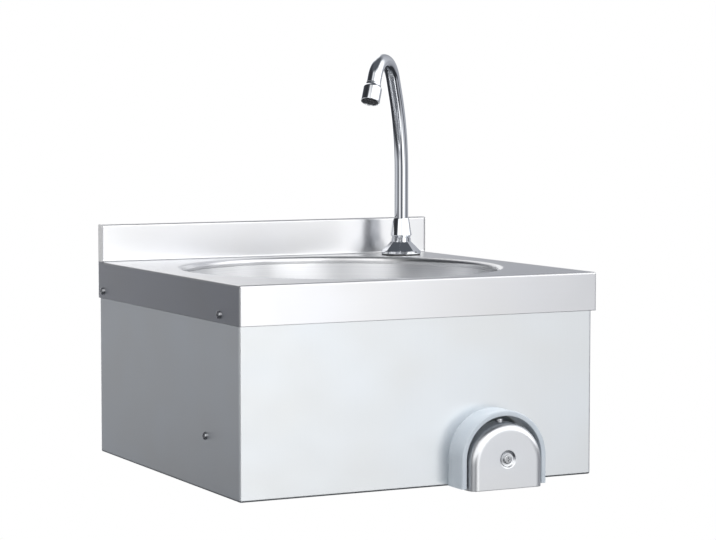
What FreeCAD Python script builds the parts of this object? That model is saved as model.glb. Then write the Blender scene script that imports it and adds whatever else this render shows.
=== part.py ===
"""Wall-hung stainless steel hand wash sink with a knee-operated valve and a swan-neck spout.

Frame: X to the user's right, Y into the wall, Z up, millimetres.  The origin is the
middle of the two wall fixings, on the wall.
"""
import FreeCAD, Part
import math
import os
import re
from types import SimpleNamespace

import Sketcher

Vector = FreeCAD.Vector
Rotation = FreeCAD.Rotation

SIZES = {
    # the whole sink and its sheet
    "width": 400,
    "depth": 380,
    "sheet": 1,
    "fold": 2,
    "deck_z": 32,
    "apron": 39.5,
    "hem": 15,
    "hem_thick": 2.2,
    "splash_rise": 40.5,
    "splash_depth": 11,
    "splash_tuck": 11,
    # the bowl
    "bowl_y": -193,
    "bowl_radius": 167.5,
    "rim_round": 5,
    "lip_drop": 8,
    "bowl_low_radius": 160,
    "bowl_wall_depth": 116,
    "bowl_corner": 40,
    "bowl_floor_depth": 123,
    "recess_radius": 38,
    "recess_slope": 1.5,
    "bowl_depth": 127,
    "drain_hole_radius": 26,
    # the casing under the deck
    "casing_width": 395.6,
    "casing_front": -373.6,
    "casing_drop": 209.5,
    "casing_top": 10,
    "casing_return": 15,
    # the rail on the wall
    "rail_sheet": 2,
    "rail_top": 20,
    "rail_low": -25,
    "rail_flange": 14,
    "rail_tab_depth": 24,
    "rail_tab_half": 15,
    "wall_hole_pitch": 300,
    "wall_slot_width": 8,
    "wall_slot_length": 16,
    "rail_flange_inset": 30,
    # sheet metal screws
    "screw_z": 0.5,
    "front_screw_y": -331.1,
    "rear_screw_y": -13.4,
    "pan_radius": 3.8,
    "pan_height": 2.2,
    "pan_shank": 2,
    "pan_length": 8,
    "pan_hole": 2.1,
    "pan_rounding": 0.55,
    "recess_long": 4.4,
    "recess_wide": 0.9,
    "recess_deep": 1.2,
    "nut_flat": 7,
    "nut_height": 3.2,
    # the bar that carries the valve
    "bar_y": -300.7,
    "bar_z": -122.9,
    "bar_half": 12.5,
    "bar_tab": 20,
    "bar_flange": 12,
    "bolt_shank": 2.5,
    "bolt_offset": 20,
    "bolt_length": 14,
    "bolt_flat": 8,
    "bolt_head": 3.5,
    "bolt_nut": 4.5,
    "bracket_clearance": 0.1,
    "bracket_sheet": 3,
    "bracket_half": 34,
    "bracket_above": 40,
    "bracket_below": 20,
    # the collar round the knee pad
    "valve_x": 79,
    "valve_z": -149.5,
    "collar_z": -149.8,
    "collar_outer": 48.5,
    "collar_inner": 43,
    "collar_proud": 28,
    "collar_rise": 3.3,
    "collar_edge": 1.6,
    "collar_cut": 20,
    "spigot_radius": 46,
    "retainer_radius": 58,
    "retainer_sheet": 2,
    "retainer_gap": 0.5,
    "collar_screw_ring": 44.5,
    "collar_screw_radius": 1.1,
    "collar_screw_depth": 9,
    "collar_screw_head": 2.4,
    "collar_screw_head_height": 1.7,
    # the knee pad and its carrier, measured forward from the casing
    "pad_z": -154.3,
    "pad_radius": 41.3,
    "pad_low": -179.4,
    "pad_rear": 14,
    "pad_front": 35,
    "pad_sheet": 1.2,
    "pad_bend": 8,
    "dimple_radius": 8.8,
    "dimple_floor": 6.6,
    "dimple_depth": 2,
    "pad_screw_radius": 4.7,
    "pad_screw_head": 2.4,
    "pad_screw_shank": 2.5,
    "pad_screw_end": 18,
    "hub_radius": 9,
    "hub_rear": 22,
    "carrier_radius": 20,
    "carrier_sheet": 2.5,
    "carrier_arm_half": 5,
    "carrier_tab_rear": 12,
    "carrier_plate_rear": 24,
    "carrier_gap": 0.4,
    "top_screw_w": 16.6,
    "top_screw_radius": 4.4,
    "top_screw_head": 3.6,
    "top_screw_shank": 2,
    "top_screw_length": 6,
    # the valve, measured forward from the casing along its own axis
    "barrel_radius": 17,
    "barrel_front": -22,
    "barrel_rear": -69.9,
    "mixing_radius": 12,
    "mixing_rear": -46,
    "port_wall_rear": -50,
    "port_radius": 6,
    "poppet_room_radius": 10.5,
    "poppet_room_rear": -66,
    "half_inch": 10.48,
    "stub_rear": -95,
    "stub_bore": 6,
    "inlet_w": -34,
    "inlet_x": 22,
    "inlet_boss": 13,
    "arm_radius": 11,
    "arm_reach": 27,
    "inlet_boss_low": -17,
    "inlet_spigot": 9,
    "inlet_spigot_top": -9,
    "inlet_bore": 7,
    "inlet_bore_top": 2.5,
    "inlet_low": -27,
    "nipple_bore": 6,
    "check_bore": 1.5,
    "check_top": -10,
    "filter_low": -26,
    "filter_rim_top": -25,
    "filter_tip": -23.8,
    "filter_dip": -24.8,
    "gallery_bore": 6,
    "gallery_end": 24,
    "bonnet_flat": 30,
    "bonnet_hex_rear": -21,
    "bonnet_hex_front": -12,
    "bonnet_skirt_rear": -27,
    "bonnet_front": -5,
    "bonnet_seal_radius": 14.5,
    "bonnet_nose": 11,
    "bonnet_wall_rear": -8,
    "running_gap": 0.05,
    "piston_radius": 8,
    "piston_rear": -14,
    "piston_front": -8.1,
    "groove_rear": -12.4,
    "groove_front": -9.9,
    "groove_radius": 6.4,
    "ring_slack": 0.2,
    "rod_radius": 5,
    "rod_front": 30,
    "waist_radius": 3.2,
    "poppet_radius": 9,
    "poppet_rear": -54.2,
    "poppet_front": -51.2,
    "seat_front": -50.1,
    "spring_radius": 8.4,
    "spring_wire": 0.8,
    "spring_gap": 0.1,
    "spring_turns": 6,
    "locknut_flat": 27,
    "locknut_height": 6,
    # the copper pipe between the valve and the tap
    "pipe_radius": 6,
    "pipe_bore": 5,
    "pipe_nut_flat": 25,
    "pipe_nut_grip": 10,
    "pipe_washer": 2,
    "pipe_nut_wall": 3,
    "pipe_tail_radius": 7.3,
    "pipe_tail_length": 20,
    "pipe_turn_y": -185,
    # the tap, measured up from the deck along its own axis
    "tap_x": 148.1,
    "tap_y": -49.2,
    "gasket_radius": 22,
    "gasket_height": 1.5,
    "base_radius": 22.5,
    "base_band_top": 5.3,
    "facet_low_radius": 22,
    "facet_high_radius": 11.4,
    "facet_top": 15.3,
    "facet_heading": 12.4,
    "neck_radius": 11,
    "neck_top": 21.9,
    "cap_thread": 9.5,
    "seat_top": 30,
    "shank_low": -48,
    "shank_bore": 5,
    "socket_floor": 12,
    "socket_radius": 6.55,
    "cap_low_radius": 12,
    "cap_top_radius": 8.8,
    "cap_low": 22.1,
    "cap_top": 42,
    "cap_room_radius": 9.3,
    "cap_room_low": 30.3,
    "cap_shoulder": 33.1,
    "cap_bore": 8.1,
    "glide_height": 0.8,
    "glide_bore": 8.15,
    "stub_low": 14,
    "stub_radius": 6.5,
    "stub_flange_low": 30.2,
    "stub_flange_top": 32.2,
    "stub_flange_radius": 9.1,
    "stub_top": 40,
    "stub_bore_radius": 4.5,
    "ring_low": 17,
    "ring_high": 24,
    "ring_groove": 2,
    "ring_groove_radius": 5.3,
    "deck_washer": 2,
    "clamp_washer": 1.5,
    "washer_radius": 18,
    "tap_hole": 11,
    "tap_nut_flat": 30,
    "tap_nut_height": 6,
    # the swan neck
    "tube_radius": 8,
    "tube_bore": 7,
    "spout_heading": -138,
    "rise_top": 94.6,
    "lean_bend": 204,
    "lean": 25,
    "lean_run": 22,
    "crook_bend": 31.5,
    "crook": 152.6,
    "crook_run": 31.5,
    # the nozzle, measured back from its mouth
    "nozzle_radius": 10.5,
    "nozzle_length": 22,
    "nozzle_shoulder": 17.5,
    "nozzle_neck": 8.6,
    "nozzle_room": 9,
    "nozzle_room_top": 7,
    "nozzle_stop_radius": 7.2,
    "tube_end": 8,
    "insert_low": 0.8,
    "insert_top": 6,
    "insert_radius": 8.9,
    "jet_radius": 0.7,
    "jet_ring": 5.6,
    "jet_count": 12,
    # the waste, measured up from the floor of the bowl's recess
    "drain_seal": 1,
    "seal_radius": 34,
    "strainer_radius": 35,
    "strainer_rim_top": 2.5,
    "strainer_step_out": 24.5,
    "strainer_step_in": 22,
    "strainer_floor": -1,
    "strainer_sheet": 1.5,
    "strainer_hole": 2.6,
    "strainer_ring_one": 8.6,
    "strainer_ring_two": 16.4,
    "strainer_count_one": 6,
    "strainer_count_two": 12,
    "waste_seal_low": -4,
    "waste_rim_low": -7.5,
    "waste_rim_radius": 36,
    "waste_cup_radius": 29,
    "waste_cup_bore": 26,
    "waste_cup_low": -28,
    "waste_floor_low": -25,
    "waste_thread": 23.9,
    "waste_bore": 20.2,
    "waste_low": -52,
    "waste_hub": 5,
    "waste_hub_top": -6,
    "waste_hub_low": -24,
    "waste_rib": 2.5,
    "waste_rib_top": -10,
    "waste_screw": 3,
    "waste_screw_head": 5.6,
    "waste_screw_head_height": 2.6,
    "waste_screw_low": -22,
    "coupling_top": -40,
    "coupling_low": -66,
    "coupling_radius": 29,
    "coupling_bore": 19.7,
    "coupling_floor": 3,
    "coupling_rib": 1.2,
    "coupling_ribs": 12,
    "cone_low": -58,
    "cone_rim_top": -56,
    "cone_radius": 22.9,
    "cone_top_radius": 21.2,
    "tail_radius": 19.5,
    "tail_bore": 18.2,
    "tail_top": -36,
    "tail_step": -67,
    "tail_low": -79,
    "spigot_40_radius": 20,
}
num = SimpleNamespace(**SIZES)

TOLERANCE = 1e-3
TRIM_SHARE = 0.45
COLLAR_SCREW_ANGLES = (20, 70, 110, 160)
OUTWARD = {"left": Vector(-1, 0, 0), "right": Vector(1, 0, 0)}
TO_USER = Rotation(Vector(1, 0, 0), 90)
UPRIGHT = Rotation()
ALONG = {
    "x": Rotation(Vector(0, 1, 0), 90),
    "y": Rotation(Vector(1, 0, 0), -90),
    "z": UPRIGHT,
}

doc = FreeCAD.newDocument("HandWashSink")
sheet = doc.addObject("Spreadsheet::Sheet", "Size")
for row, (alias, value) in enumerate(SIZES.items(), start=1):
    sheet.set(f"A{row}", alias)
    sheet.set(f"B{row}", str(value))
    sheet.setAlias(f"B{row}", alias)
doc.recompute()

parts = []


# ---------------------------------------------------------------- helpers

def sized(text):
    """Point every size named in an expression at its spreadsheet cell."""
    return re.sub(r"\b[a-z]\w*\b", lambda word: f"Size.{word[0]}" if word[0] in SIZES else word[0], str(text))


def bind(item, **sizes):
    for name, text in sizes.items():
        item.setExpression(name, sized(text))


def place(item, x=0, y=0, z=0, turn=UPRIGHT):
    item.Placement = FreeCAD.Placement(Vector(), turn)
    for axis, text in zip("xyz", (x, y, z)):
        item.setExpression(f"Placement.Base.{axis}", sized(text))


def new_body(name):
    return doc.addObject("PartDesign::Body", name)


def part_body(label):
    """A body that is a sub-part by itself."""
    body = new_body(label)
    parts.append(body)
    return body


def group(label, members):
    """Like fasteners as one sub-part of separate solids."""
    compound = doc.addObject("Part::Compound", label)
    compound.Links = members
    parts.append(compound)
    return compound


def box(body, mode, x, y, z):
    """Add or cut a box between two values on each axis."""
    item = body.newObject(f"PartDesign::{mode}Box", "Box")
    place(item, x[0], y[0], z[0])
    bind(item, Length=f"({x[1]}) - ({x[0]})", Width=f"({y[1]}) - ({y[0]})", Height=f"({z[1]}) - ({z[0]})")
    return item


def cylinder(body, mode, radius, start, length, along="z"):
    item = body.newObject(f"PartDesign::{mode}Cylinder", "Cylinder")
    place(item, *start, turn=ALONG[along])
    bind(item, Radius=radius, Height=length)
    return item


def cone(body, mode, low_radius, top_radius, start, length):
    item = body.newObject(f"PartDesign::{mode}Cone", "Cone")
    place(item, *start)
    bind(item, Radius1=low_radius, Radius2=top_radius, Height=length)
    return item


def torus(body, mode, ring_radius, wire_radius, z):
    item = body.newObject(f"PartDesign::{mode}Torus", "Torus")
    place(item, z=z)
    bind(item, Radius1=ring_radius, Radius2=wire_radius)
    return item


def hexagon(body, mode, flat, z):
    """A hexagonal prism, sized across its flats, between two heights."""
    item = body.newObject(f"PartDesign::{mode}Prism", "Hexagon")
    place(item, z=z[0])
    item.Polygon = 6
    bind(item, Circumradius=f"({flat}) / sqrt(3)", Height=f"({z[1]}) - ({z[0]})")
    return item


def sketch_on(body, role, height=None):
    """An empty sketch on one of the body's own planes, lifted by a height."""
    sketch = body.newObject("Sketcher::SketchObject", "Sketch")
    plane = next(item for item in body.Origin.OriginFeatures if item.Role == role)
    sketch.AttachmentSupport = [(plane, "")]
    sketch.MapMode = "FlatFace"
    if height is not None:
        sketch.setExpression("AttachmentOffset.Base.z", sized(height))
    return sketch


def polygon(sketch, points):
    """Close a polygon whose corners are all dimensioned from the sketch's origin."""
    count = len(points)
    rough = [Vector(10 * math.cos(math.tau * i / count), 10 * math.sin(math.tau * i / count), 0)
             for i in range(count)]
    sketch.addGeometry([Part.LineSegment(rough[i], rough[(i + 1) % count]) for i in range(count)], False)
    sketch.addConstraint([Sketcher.Constraint("Coincident", i, 2, (i + 1) % count, 1) for i in range(count)])
    for i, (across, up) in enumerate(points):
        for kind, text, guess in (("DistanceX", across, rough[i].x), ("DistanceY", up, rough[i].y)):
            index = sketch.addConstraint(Sketcher.Constraint(kind, -1, 1, i, 1, guess))
            sketch.setExpression(f"Constraints[{index}]", sized(text))


def circle(sketch, radius, x=0, y=0):
    drawn = sketch.addGeometry(Part.Circle(Vector(1, 1, 0), Vector(0, 0, 1), 1), False)
    for kind, text in (("DistanceX", x), ("DistanceY", y)):
        index = sketch.addConstraint(Sketcher.Constraint(kind, -1, 1, drawn, 3, 1))
        sketch.setExpression(f"Constraints[{index}]", sized(text))
    index = sketch.addConstraint(Sketcher.Constraint("Radius", drawn, 1))
    sketch.setExpression(f"Constraints[{index}]", sized(radius))


def turned(body, points):
    """Revolve a half section, given as (radius, height) corners, about the body's Z axis."""
    sketch = sketch_on(body, "XZ_Plane")
    polygon(sketch, points)
    item = body.newObject("PartDesign::Revolution", "Turned")
    item.Profile = sketch
    item.ReferenceAxis = (sketch, ["V_Axis"])
    item.Angle = 360
    return item


def ring(body, outer, inner, z):
    """A plain ring between two heights."""
    return turned(body, [(inner, z[0]), (outer, z[0]), (outer, z[1]), (inner, z[1])])


def edges_where(item, test):
    return [f"Edge{index}" for index, edge in enumerate(item.Shape.Edges, start=1) if test(edge)]


def faces_where(item, test):
    return [f"Face{index}" for index, face in enumerate(item.Shape.Faces, start=1) if test(face)]


def dress(body, kind, size, test):
    """Fillet or chamfer the edges of the body's tip that pass a test."""
    doc.recompute()
    base = body.Tip
    edges = edges_where(base, test)
    if not edges:
        raise RuntimeError(f"{body.Label}: no edge to dress")
    item = body.newObject(f"PartDesign::{kind}", kind)
    item.Base = (base, edges)
    bind(item, **{"Radius" if kind == "Fillet" else "Size": size})
    doc.recompute()
    if "Invalid" in item.State:
        raise RuntimeError(f"{body.Label}: {kind} of {size} failed on {edges}")
    return item


def near(first, second):
    return abs(first - second) < TOLERANCE


def is_round(edge):
    return not edge.Degenerated and isinstance(edge.Curve, Part.Circle)


def arc_at(radius, z):
    """Test for circular edges of one radius at one height."""
    def test(edge):
        return is_round(edge) and near(edge.Curve.Radius, radius) and near(edge.Curve.Center.z, z)
    return test


def edge_inside(x=None, y=None, z=None):
    """Test for edges whose whole length lies in the given ranges."""
    def test(edge):
        bound = edge.BoundBox
        spans = ((x, bound.XMin, bound.XMax), (y, bound.YMin, bound.YMax), (z, bound.ZMin, bound.ZMax))
        return all(limits is None or (low > limits[0] - TOLERANCE and high < limits[1] + TOLERANCE)
                   for limits, low, high in spans)
    return test


def any_of(*tests):
    return lambda edge: any(test(edge) for test in tests)


def facing(direction):
    """Turn the local Z axis to a direction."""
    return Rotation(Vector(0, 0, 1), direction)


# ---------------------------------------------------------------- fasteners

def pan_screw(name, head, head_height, shank, length):
    """A cross-recessed pan screw: its head sits on z = 0 and its shank runs down."""
    screw = new_body(name)
    cylinder(screw, "Additive", head, (0, 0, 0), head_height)
    cylinder(screw, "Additive", shank, (0, 0, f"-({length})"), length)
    dress(screw, "Fillet", f"({head_height}) * pan_rounding", lambda edge: edge.BoundBox.ZMin > TOLERANCE)
    for across, along in (("recess_long", "recess_wide"), ("recess_wide", "recess_long")):
        box(screw, "Subtractive", (f"-{across}/2", f"{across}/2"), (f"-{along}/2", f"{along}/2"),
            (f"{head_height} - recess_deep", f"{head_height} + 1"))
    return screw


def hex_nut(name, flat, height, bore):
    """A hexagon nut from z = 0 up."""
    nut = new_body(name)
    hexagon(nut, "Additive", flat, (0, height))
    cylinder(nut, "Subtractive", bore, (0, 0, -1), f"({height}) + 2")
    return nut


def hex_bolt(name, flat, head_height, shank, length):
    """A hexagon bolt: its head sits on z = 0 and its shank runs down."""
    bolt = new_body(name)
    hexagon(bolt, "Additive", flat, (0, head_height))
    cylinder(bolt, "Additive", shank, (0, 0, f"-({length})"), length)
    return bolt


def side_pair(label, make, reach, y, z):
    """The same fastener in the left and the right side, a distance out from the middle."""
    members = []
    for side, outward in OUTWARD.items():
        item = make(f"{label}_{side}")
        place(item, f"{outward.x} * ({reach})", y, z, facing(outward))
        members.append(item)
    return group(label, members)


# ---------------------------------------------------------------- sheet metal

def make_sink_top():
    """Deck, aprons with a hemmed lower edge and the folded back splash, in one sheet."""
    top = part_body("sink_top")
    inner_x = ("-width/2 + sheet", "width/2 - sheet")
    low = "deck_z - apron"
    box(top, "Additive", ("-width/2", "width/2"), ("-depth", 0), (low, "deck_z"))
    box(top, "Additive", ("-width/2", "width/2"), ("-splash_depth", 0), ("deck_z - 1", "deck_z + splash_rise"))
    dress(top, "Fillet", "fold", edge_inside(y=(-num.splash_depth,) * 2, z=(num.deck_z,) * 2))
    dress(top, "Fillet", "fold", any_of(
        edge_inside(y=(-num.depth, -num.depth), z=(num.deck_z, num.deck_z)),
        edge_inside(x=(-num.width / 2, -num.width / 2), y=(-num.depth, -num.depth)),
        edge_inside(x=(num.width / 2, num.width / 2), y=(-num.depth, -num.depth)),
        edge_inside(y=(-num.splash_depth, -num.splash_depth), z=(num.deck_z + num.splash_rise,) * 2),
        edge_inside(y=(0, 0), z=(num.deck_z + num.splash_rise,) * 2),
        edge_inside(x=(-num.width / 2,) * 2, y=(-num.depth, 0), z=(num.deck_z,) * 2),
        edge_inside(x=(num.width / 2,) * 2, y=(-num.depth, 0), z=(num.deck_z,) * 2)))
    box(top, "Subtractive", inner_x, ("-depth + sheet", "-sheet"), (f"{low} - 1", "deck_z - sheet"))
    box(top, "Subtractive", inner_x, ("-sheet - 1", 1), (f"{low} - 1", "deck_z - splash_tuck"))
    box(top, "Subtractive", inner_x, ("-splash_depth + sheet", "-sheet"),
        ("deck_z - sheet - 1", "deck_z + splash_rise - sheet"))
    hem_z = (low, f"{low} + hem")
    box(top, "Additive", inner_x, ("-depth + sheet/2", "-depth + hem_thick"), hem_z)
    for hem_x in (("-width/2 + sheet/2", "-width/2 + hem_thick"), ("width/2 - hem_thick", "width/2 - sheet/2")):
        box(top, "Additive", hem_x, ("-depth + sheet", 0), hem_z)
    cylinder(top, "Additive", "bowl_radius + sheet", (0, "bowl_y", "deck_z - lip_drop"), "lip_drop - sheet/2")
    cylinder(top, "Subtractive", "bowl_radius", (0, "bowl_y", "deck_z - lip_drop - 1"), "lip_drop + 2")
    dress(top, "Fillet", "rim_round - sheet", arc_at(num.bowl_radius + num.sheet, num.deck_z - num.sheet))
    dress(top, "Fillet", "rim_round", arc_at(num.bowl_radius, num.deck_z))
    cylinder(top, "Subtractive", "tap_hole", ("tap_x", "tap_y", "deck_z - sheet - 1"), "sheet + 2")
    for y in ("front_screw_y", "rear_screw_y"):
        cylinder(top, "Subtractive", "pan_hole", ("-width/2 - 1", y, "screw_z"), "width + 2", "x")


def make_bowl():
    """Pressed bowl, butt-welded under the lip of the deck."""
    bowl = part_body("bowl")
    turned(bowl, [
        ("bowl_radius", "-lip_drop"),
        ("bowl_low_radius", "-bowl_wall_depth"),
        ("recess_radius", "-bowl_floor_depth"),
        ("recess_radius - recess_slope", "-bowl_depth"),
        ("drain_hole_radius", "-bowl_depth"),
        ("drain_hole_radius", "-bowl_depth - sheet"),
        ("recess_radius - recess_slope + sheet", "-bowl_depth - sheet"),
        ("recess_radius + sheet", "-bowl_floor_depth - sheet"),
        ("bowl_low_radius + sheet", "-bowl_wall_depth - sheet"),
        ("bowl_radius + sheet", "-lip_drop")])
    place(bowl, 0, "bowl_y", "deck_z")
    dress(bowl, "Fillet", "bowl_corner", arc_at(num.bowl_low_radius, -num.bowl_wall_depth))
    dress(bowl, "Fillet", "bowl_corner + sheet",
          arc_at(num.bowl_low_radius + num.sheet, -num.bowl_wall_depth - num.sheet))


def make_casing():
    """Front and two sides folded from one sheet, with a return along the lower edge."""
    casing = part_body("casing")
    low = "deck_z - casing_drop"
    low_z = num.deck_z - num.casing_drop
    half = num.casing_width / 2
    box(casing, "Additive", ("-casing_width/2", "casing_width/2"), ("casing_front", 0), (low, "casing_top"))
    dress(casing, "Fillet", "fold", any_of(
        edge_inside(x=(-half, -half), y=(num.casing_front,) * 2),
        edge_inside(x=(half, half), y=(num.casing_front,) * 2),
        edge_inside(y=(num.casing_front,) * 2, z=(low_z, low_z)),
        edge_inside(x=(-half, -half), z=(low_z, low_z)),
        edge_inside(x=(half, half), z=(low_z, low_z))))
    box(casing, "Subtractive", ("-casing_width/2 + sheet", "casing_width/2 - sheet"),
        ("casing_front + sheet", 1), (f"{low} + sheet", "casing_top + 1"))
    box(casing, "Subtractive", ("-casing_width/2 + casing_return", "casing_width/2 - casing_return"),
        ("casing_front + casing_return", 1), (f"{low} - 1", f"{low} + sheet + 1"))
    ahead = "casing_front - 1"
    gap_x = ("valve_x - spigot_radius", "valve_x + spigot_radius")
    cylinder(casing, "Subtractive", "spigot_radius", ("valve_x", ahead, "collar_z"), "sheet + 2", "y")
    box(casing, "Subtractive", gap_x, (ahead, "casing_front + casing_return + 1"), (f"{low} - 1", f"{low} + sheet + 1"))
    box(casing, "Subtractive", gap_x, (ahead, "casing_front + sheet + 1"), (low, "collar_z"))
    for y, z in (("front_screw_y", "screw_z"), ("rear_screw_y", "screw_z"), ("bar_y + bar_tab/2", "bar_z")):
        cylinder(casing, "Subtractive", "pan_hole", ("-width/2", y, z), "width", "x")


def make_wall_rail():
    """Folded rail that screws to the wall through two slots and takes the sink's rear screws."""
    rail = part_body("wall_rail")
    half = "(casing_width/2 - sheet)"
    box(rail, "Additive", (f"-{half}", half), ("-rail_sheet", 0), ("rail_low", "rail_top"))
    box(rail, "Additive", (f"-{half} + rail_flange_inset", f"{half} - rail_flange_inset"), ("-rail_flange", 0),
        ("rail_low", "rail_low + rail_sheet"))
    for sign in (-1, 1):
        inner = f"{sign} * ({half} - rail_sheet)"
        outer = f"{sign} * {half}"
        span = (inner, outer) if sign > 0 else (outer, inner)
        box(rail, "Additive", span, ("-rail_tab_depth", 0), ("-rail_tab_half", "rail_tab_half"))
        middle = f"{sign} * wall_hole_pitch/2"
        reach = "(wall_slot_length - wall_slot_width)/2"
        box(rail, "Subtractive", (f"{middle} - {reach}", f"{middle} + {reach}"), ("-rail_sheet - 1", 1),
            ("-wall_slot_width/2", "wall_slot_width/2"))
        for end in (-1, 1):
            start = (f"{middle} + {end} * {reach}", "-rail_sheet - 1", 0)
            cylinder(rail, "Subtractive", "wall_slot_width/2", start, "rail_sheet + 2", "y")
    start = (f"-{half} - 1", "rear_screw_y", "screw_z")
    cylinder(rail, "Subtractive", "pan_shank", start, f"2 * {half} + 2", "x")


def make_valve_carrier():
    """Bar across the casing with the bracket that the valve hangs on."""
    bar = part_body("valve_bar")
    half = "(casing_width/2 - sheet)"
    top = "bar_z + bar_half"
    rise = ("bar_z - bar_half", top)
    box(bar, "Additive", (f"-{half}", half), ("bar_y", "bar_y + rail_sheet"), rise)
    box(bar, "Additive", (f"-{half}", half), ("bar_y", "bar_y + bar_flange"), (f"{top} - rail_sheet", top))
    for span in ((f"-{half}", f"-{half} + rail_sheet"), (f"{half} - rail_sheet", half)):
        box(bar, "Additive", span, ("bar_y", "bar_y + bar_tab"), rise)
    start = (f"-{half} - 1", "bar_y + bar_tab/2", "bar_z")
    cylinder(bar, "Subtractive", "pan_shank", start, f"2 * {half} + 2", "x")

    bracket = part_body("valve_bracket")
    box(bracket, "Additive", ("valve_x - bracket_half", "valve_x + bracket_half"),
        ("bar_y - bracket_sheet", "bar_y"), ("valve_z - bracket_below", "valve_z + bracket_above"))
    dress(bracket, "Fillet", "bolt_flat", lambda edge: edge.BoundBox.YLength > TOLERANCE)
    start = ("valve_x", "bar_y - bracket_sheet - 1", "valve_z")
    cylinder(bracket, "Subtractive", "half_inch + bracket_clearance", start, "bracket_sheet + 2", "y")
    bolts = []
    nuts = []
    for sign in (-1, 1):
        x = f"valve_x + {sign} * bolt_offset"
        for item in (bar, bracket):
            cylinder(item, "Subtractive", "bolt_shank", (x, "bar_y - bracket_sheet - 1", "bar_z"),
                     "bracket_sheet + rail_sheet + 2", "y")
        bolt = hex_bolt(f"bracket_bolt_{sign + 2}", "bolt_flat", "bolt_head", "bolt_shank", "bolt_length")
        place(bolt, x, "bar_y - bracket_sheet", "bar_z", TO_USER)
        bolts.append(bolt)
        nut = hex_nut(f"bracket_nut_{sign + 2}", "bolt_flat", "bolt_nut", "bolt_shank")
        place(nut, x, "bar_y + rail_sheet", "bar_z", ALONG["y"])
        nuts.append(nut)
    group("bracket_bolts", bolts)
    group("bracket_nuts", nuts)


def make_sheet_screws():
    """Screws through the aprons and the casing sides, with their nuts."""
    def screw(name):
        return pan_screw(name, "pan_radius", "pan_height", "pan_shank", "pan_length")

    def nut(name):
        return hex_nut(name, "nut_flat", "nut_height", "pan_shank")

    side_pair("front_apron_screws", screw, "width/2", "front_screw_y", "screw_z")
    side_pair("front_apron_nuts", nut, "casing_width/2 - sheet - nut_height", "front_screw_y", "screw_z")
    side_pair("rear_apron_screws", screw, "width/2", "rear_screw_y", "screw_z")
    side_pair("bar_screws", screw, "casing_width/2", "bar_y + bar_tab/2", "bar_z")
    side_pair("bar_nuts", nut, "casing_width/2 - sheet - rail_sheet - nut_height", "bar_y + bar_tab/2", "bar_z")


# ---------------------------------------------------------------- knee pad

def arch(body, mode, radius, legs, z):
    """A D shape: half a disc on straight legs, between two heights."""
    disc = cylinder(body, mode, radius, (0, 0, z[0]), f"({z[1]}) - ({z[0]})")
    disc.Angle = 180
    box(body, mode, (f"-({radius})", radius), (f"-({legs})", 0), z)


def make_collar():
    """Moulded arch round the knee pad, let into the casing and held by a plate behind it."""
    collar = part_body("knee_collar")
    legs = "collar_z - deck_z + casing_drop"
    arch(collar, "Additive", "collar_outer", legs, (0, "collar_proud"))
    dress(collar, "Fillet", "collar_edge", lambda edge: edge.BoundBox.ZMin > num.collar_proud - TOLERANCE
          and edge.BoundBox.YMax > -num.collar_outer / 4)
    arch(collar, "Additive", "spigot_radius", legs, ("-sheet", 0))
    arch(collar, "Subtractive", "collar_inner", f"{legs} + 1", ("-sheet - 1", "collar_proud + 1"))
    slant = box(collar, "Subtractive", ("-collar_outer - 1", "collar_outer + 1"), (0, "collar_cut"),
                (0, "2 * collar_proud"))
    tilt = math.degrees(math.atan2(num.collar_rise, num.collar_proud))
    place(slant, "-collar_outer - 1", f"-({legs}) - collar_cut * cos({tilt} deg)",
          f"collar_cut * sin({tilt} deg)", Rotation(Vector(1, 0, 0), -tilt))

    retainer = part_body("collar_retainer")
    rear = ("-sheet - retainer_sheet", "-sheet")
    arch(retainer, "Additive", "retainer_radius", f"{legs} - sheet - retainer_gap", rear)
    arch(retainer, "Subtractive", "collar_inner", f"{legs} + 1", ("-sheet - retainer_sheet - 1", 0))

    screws = []
    for number, angle in enumerate(COLLAR_SCREW_ANGLES, start=1):
        x = f"collar_screw_ring * cos({angle} deg)"
        y = f"collar_screw_ring * sin({angle} deg)"
        cylinder(collar, "Subtractive", "collar_screw_radius", (x, y, "-sheet - 1"), "collar_screw_depth + 1")
        cylinder(retainer, "Subtractive", "collar_screw_radius", (x, y, "-sheet - retainer_sheet - 1"),
                 "retainer_sheet + 2")
        screw = new_body(f"collar_screw_{number}")
        cylinder(screw, "Additive", "collar_screw_head", (0, 0, 0), "collar_screw_head_height")
        cylinder(screw, "Additive", "collar_screw_radius", (0, 0, "-collar_screw_depth"), "collar_screw_depth")
        place(screw, f"valve_x + {x}", "casing_front + sheet + retainer_sheet", f"collar_z + {y}", ALONG["y"])
        screws.append(screw)
    group("collar_screws", screws)
    for item in (collar, retainer):
        place(item, "valve_x", "casing_front", "collar_z", TO_USER)


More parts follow.
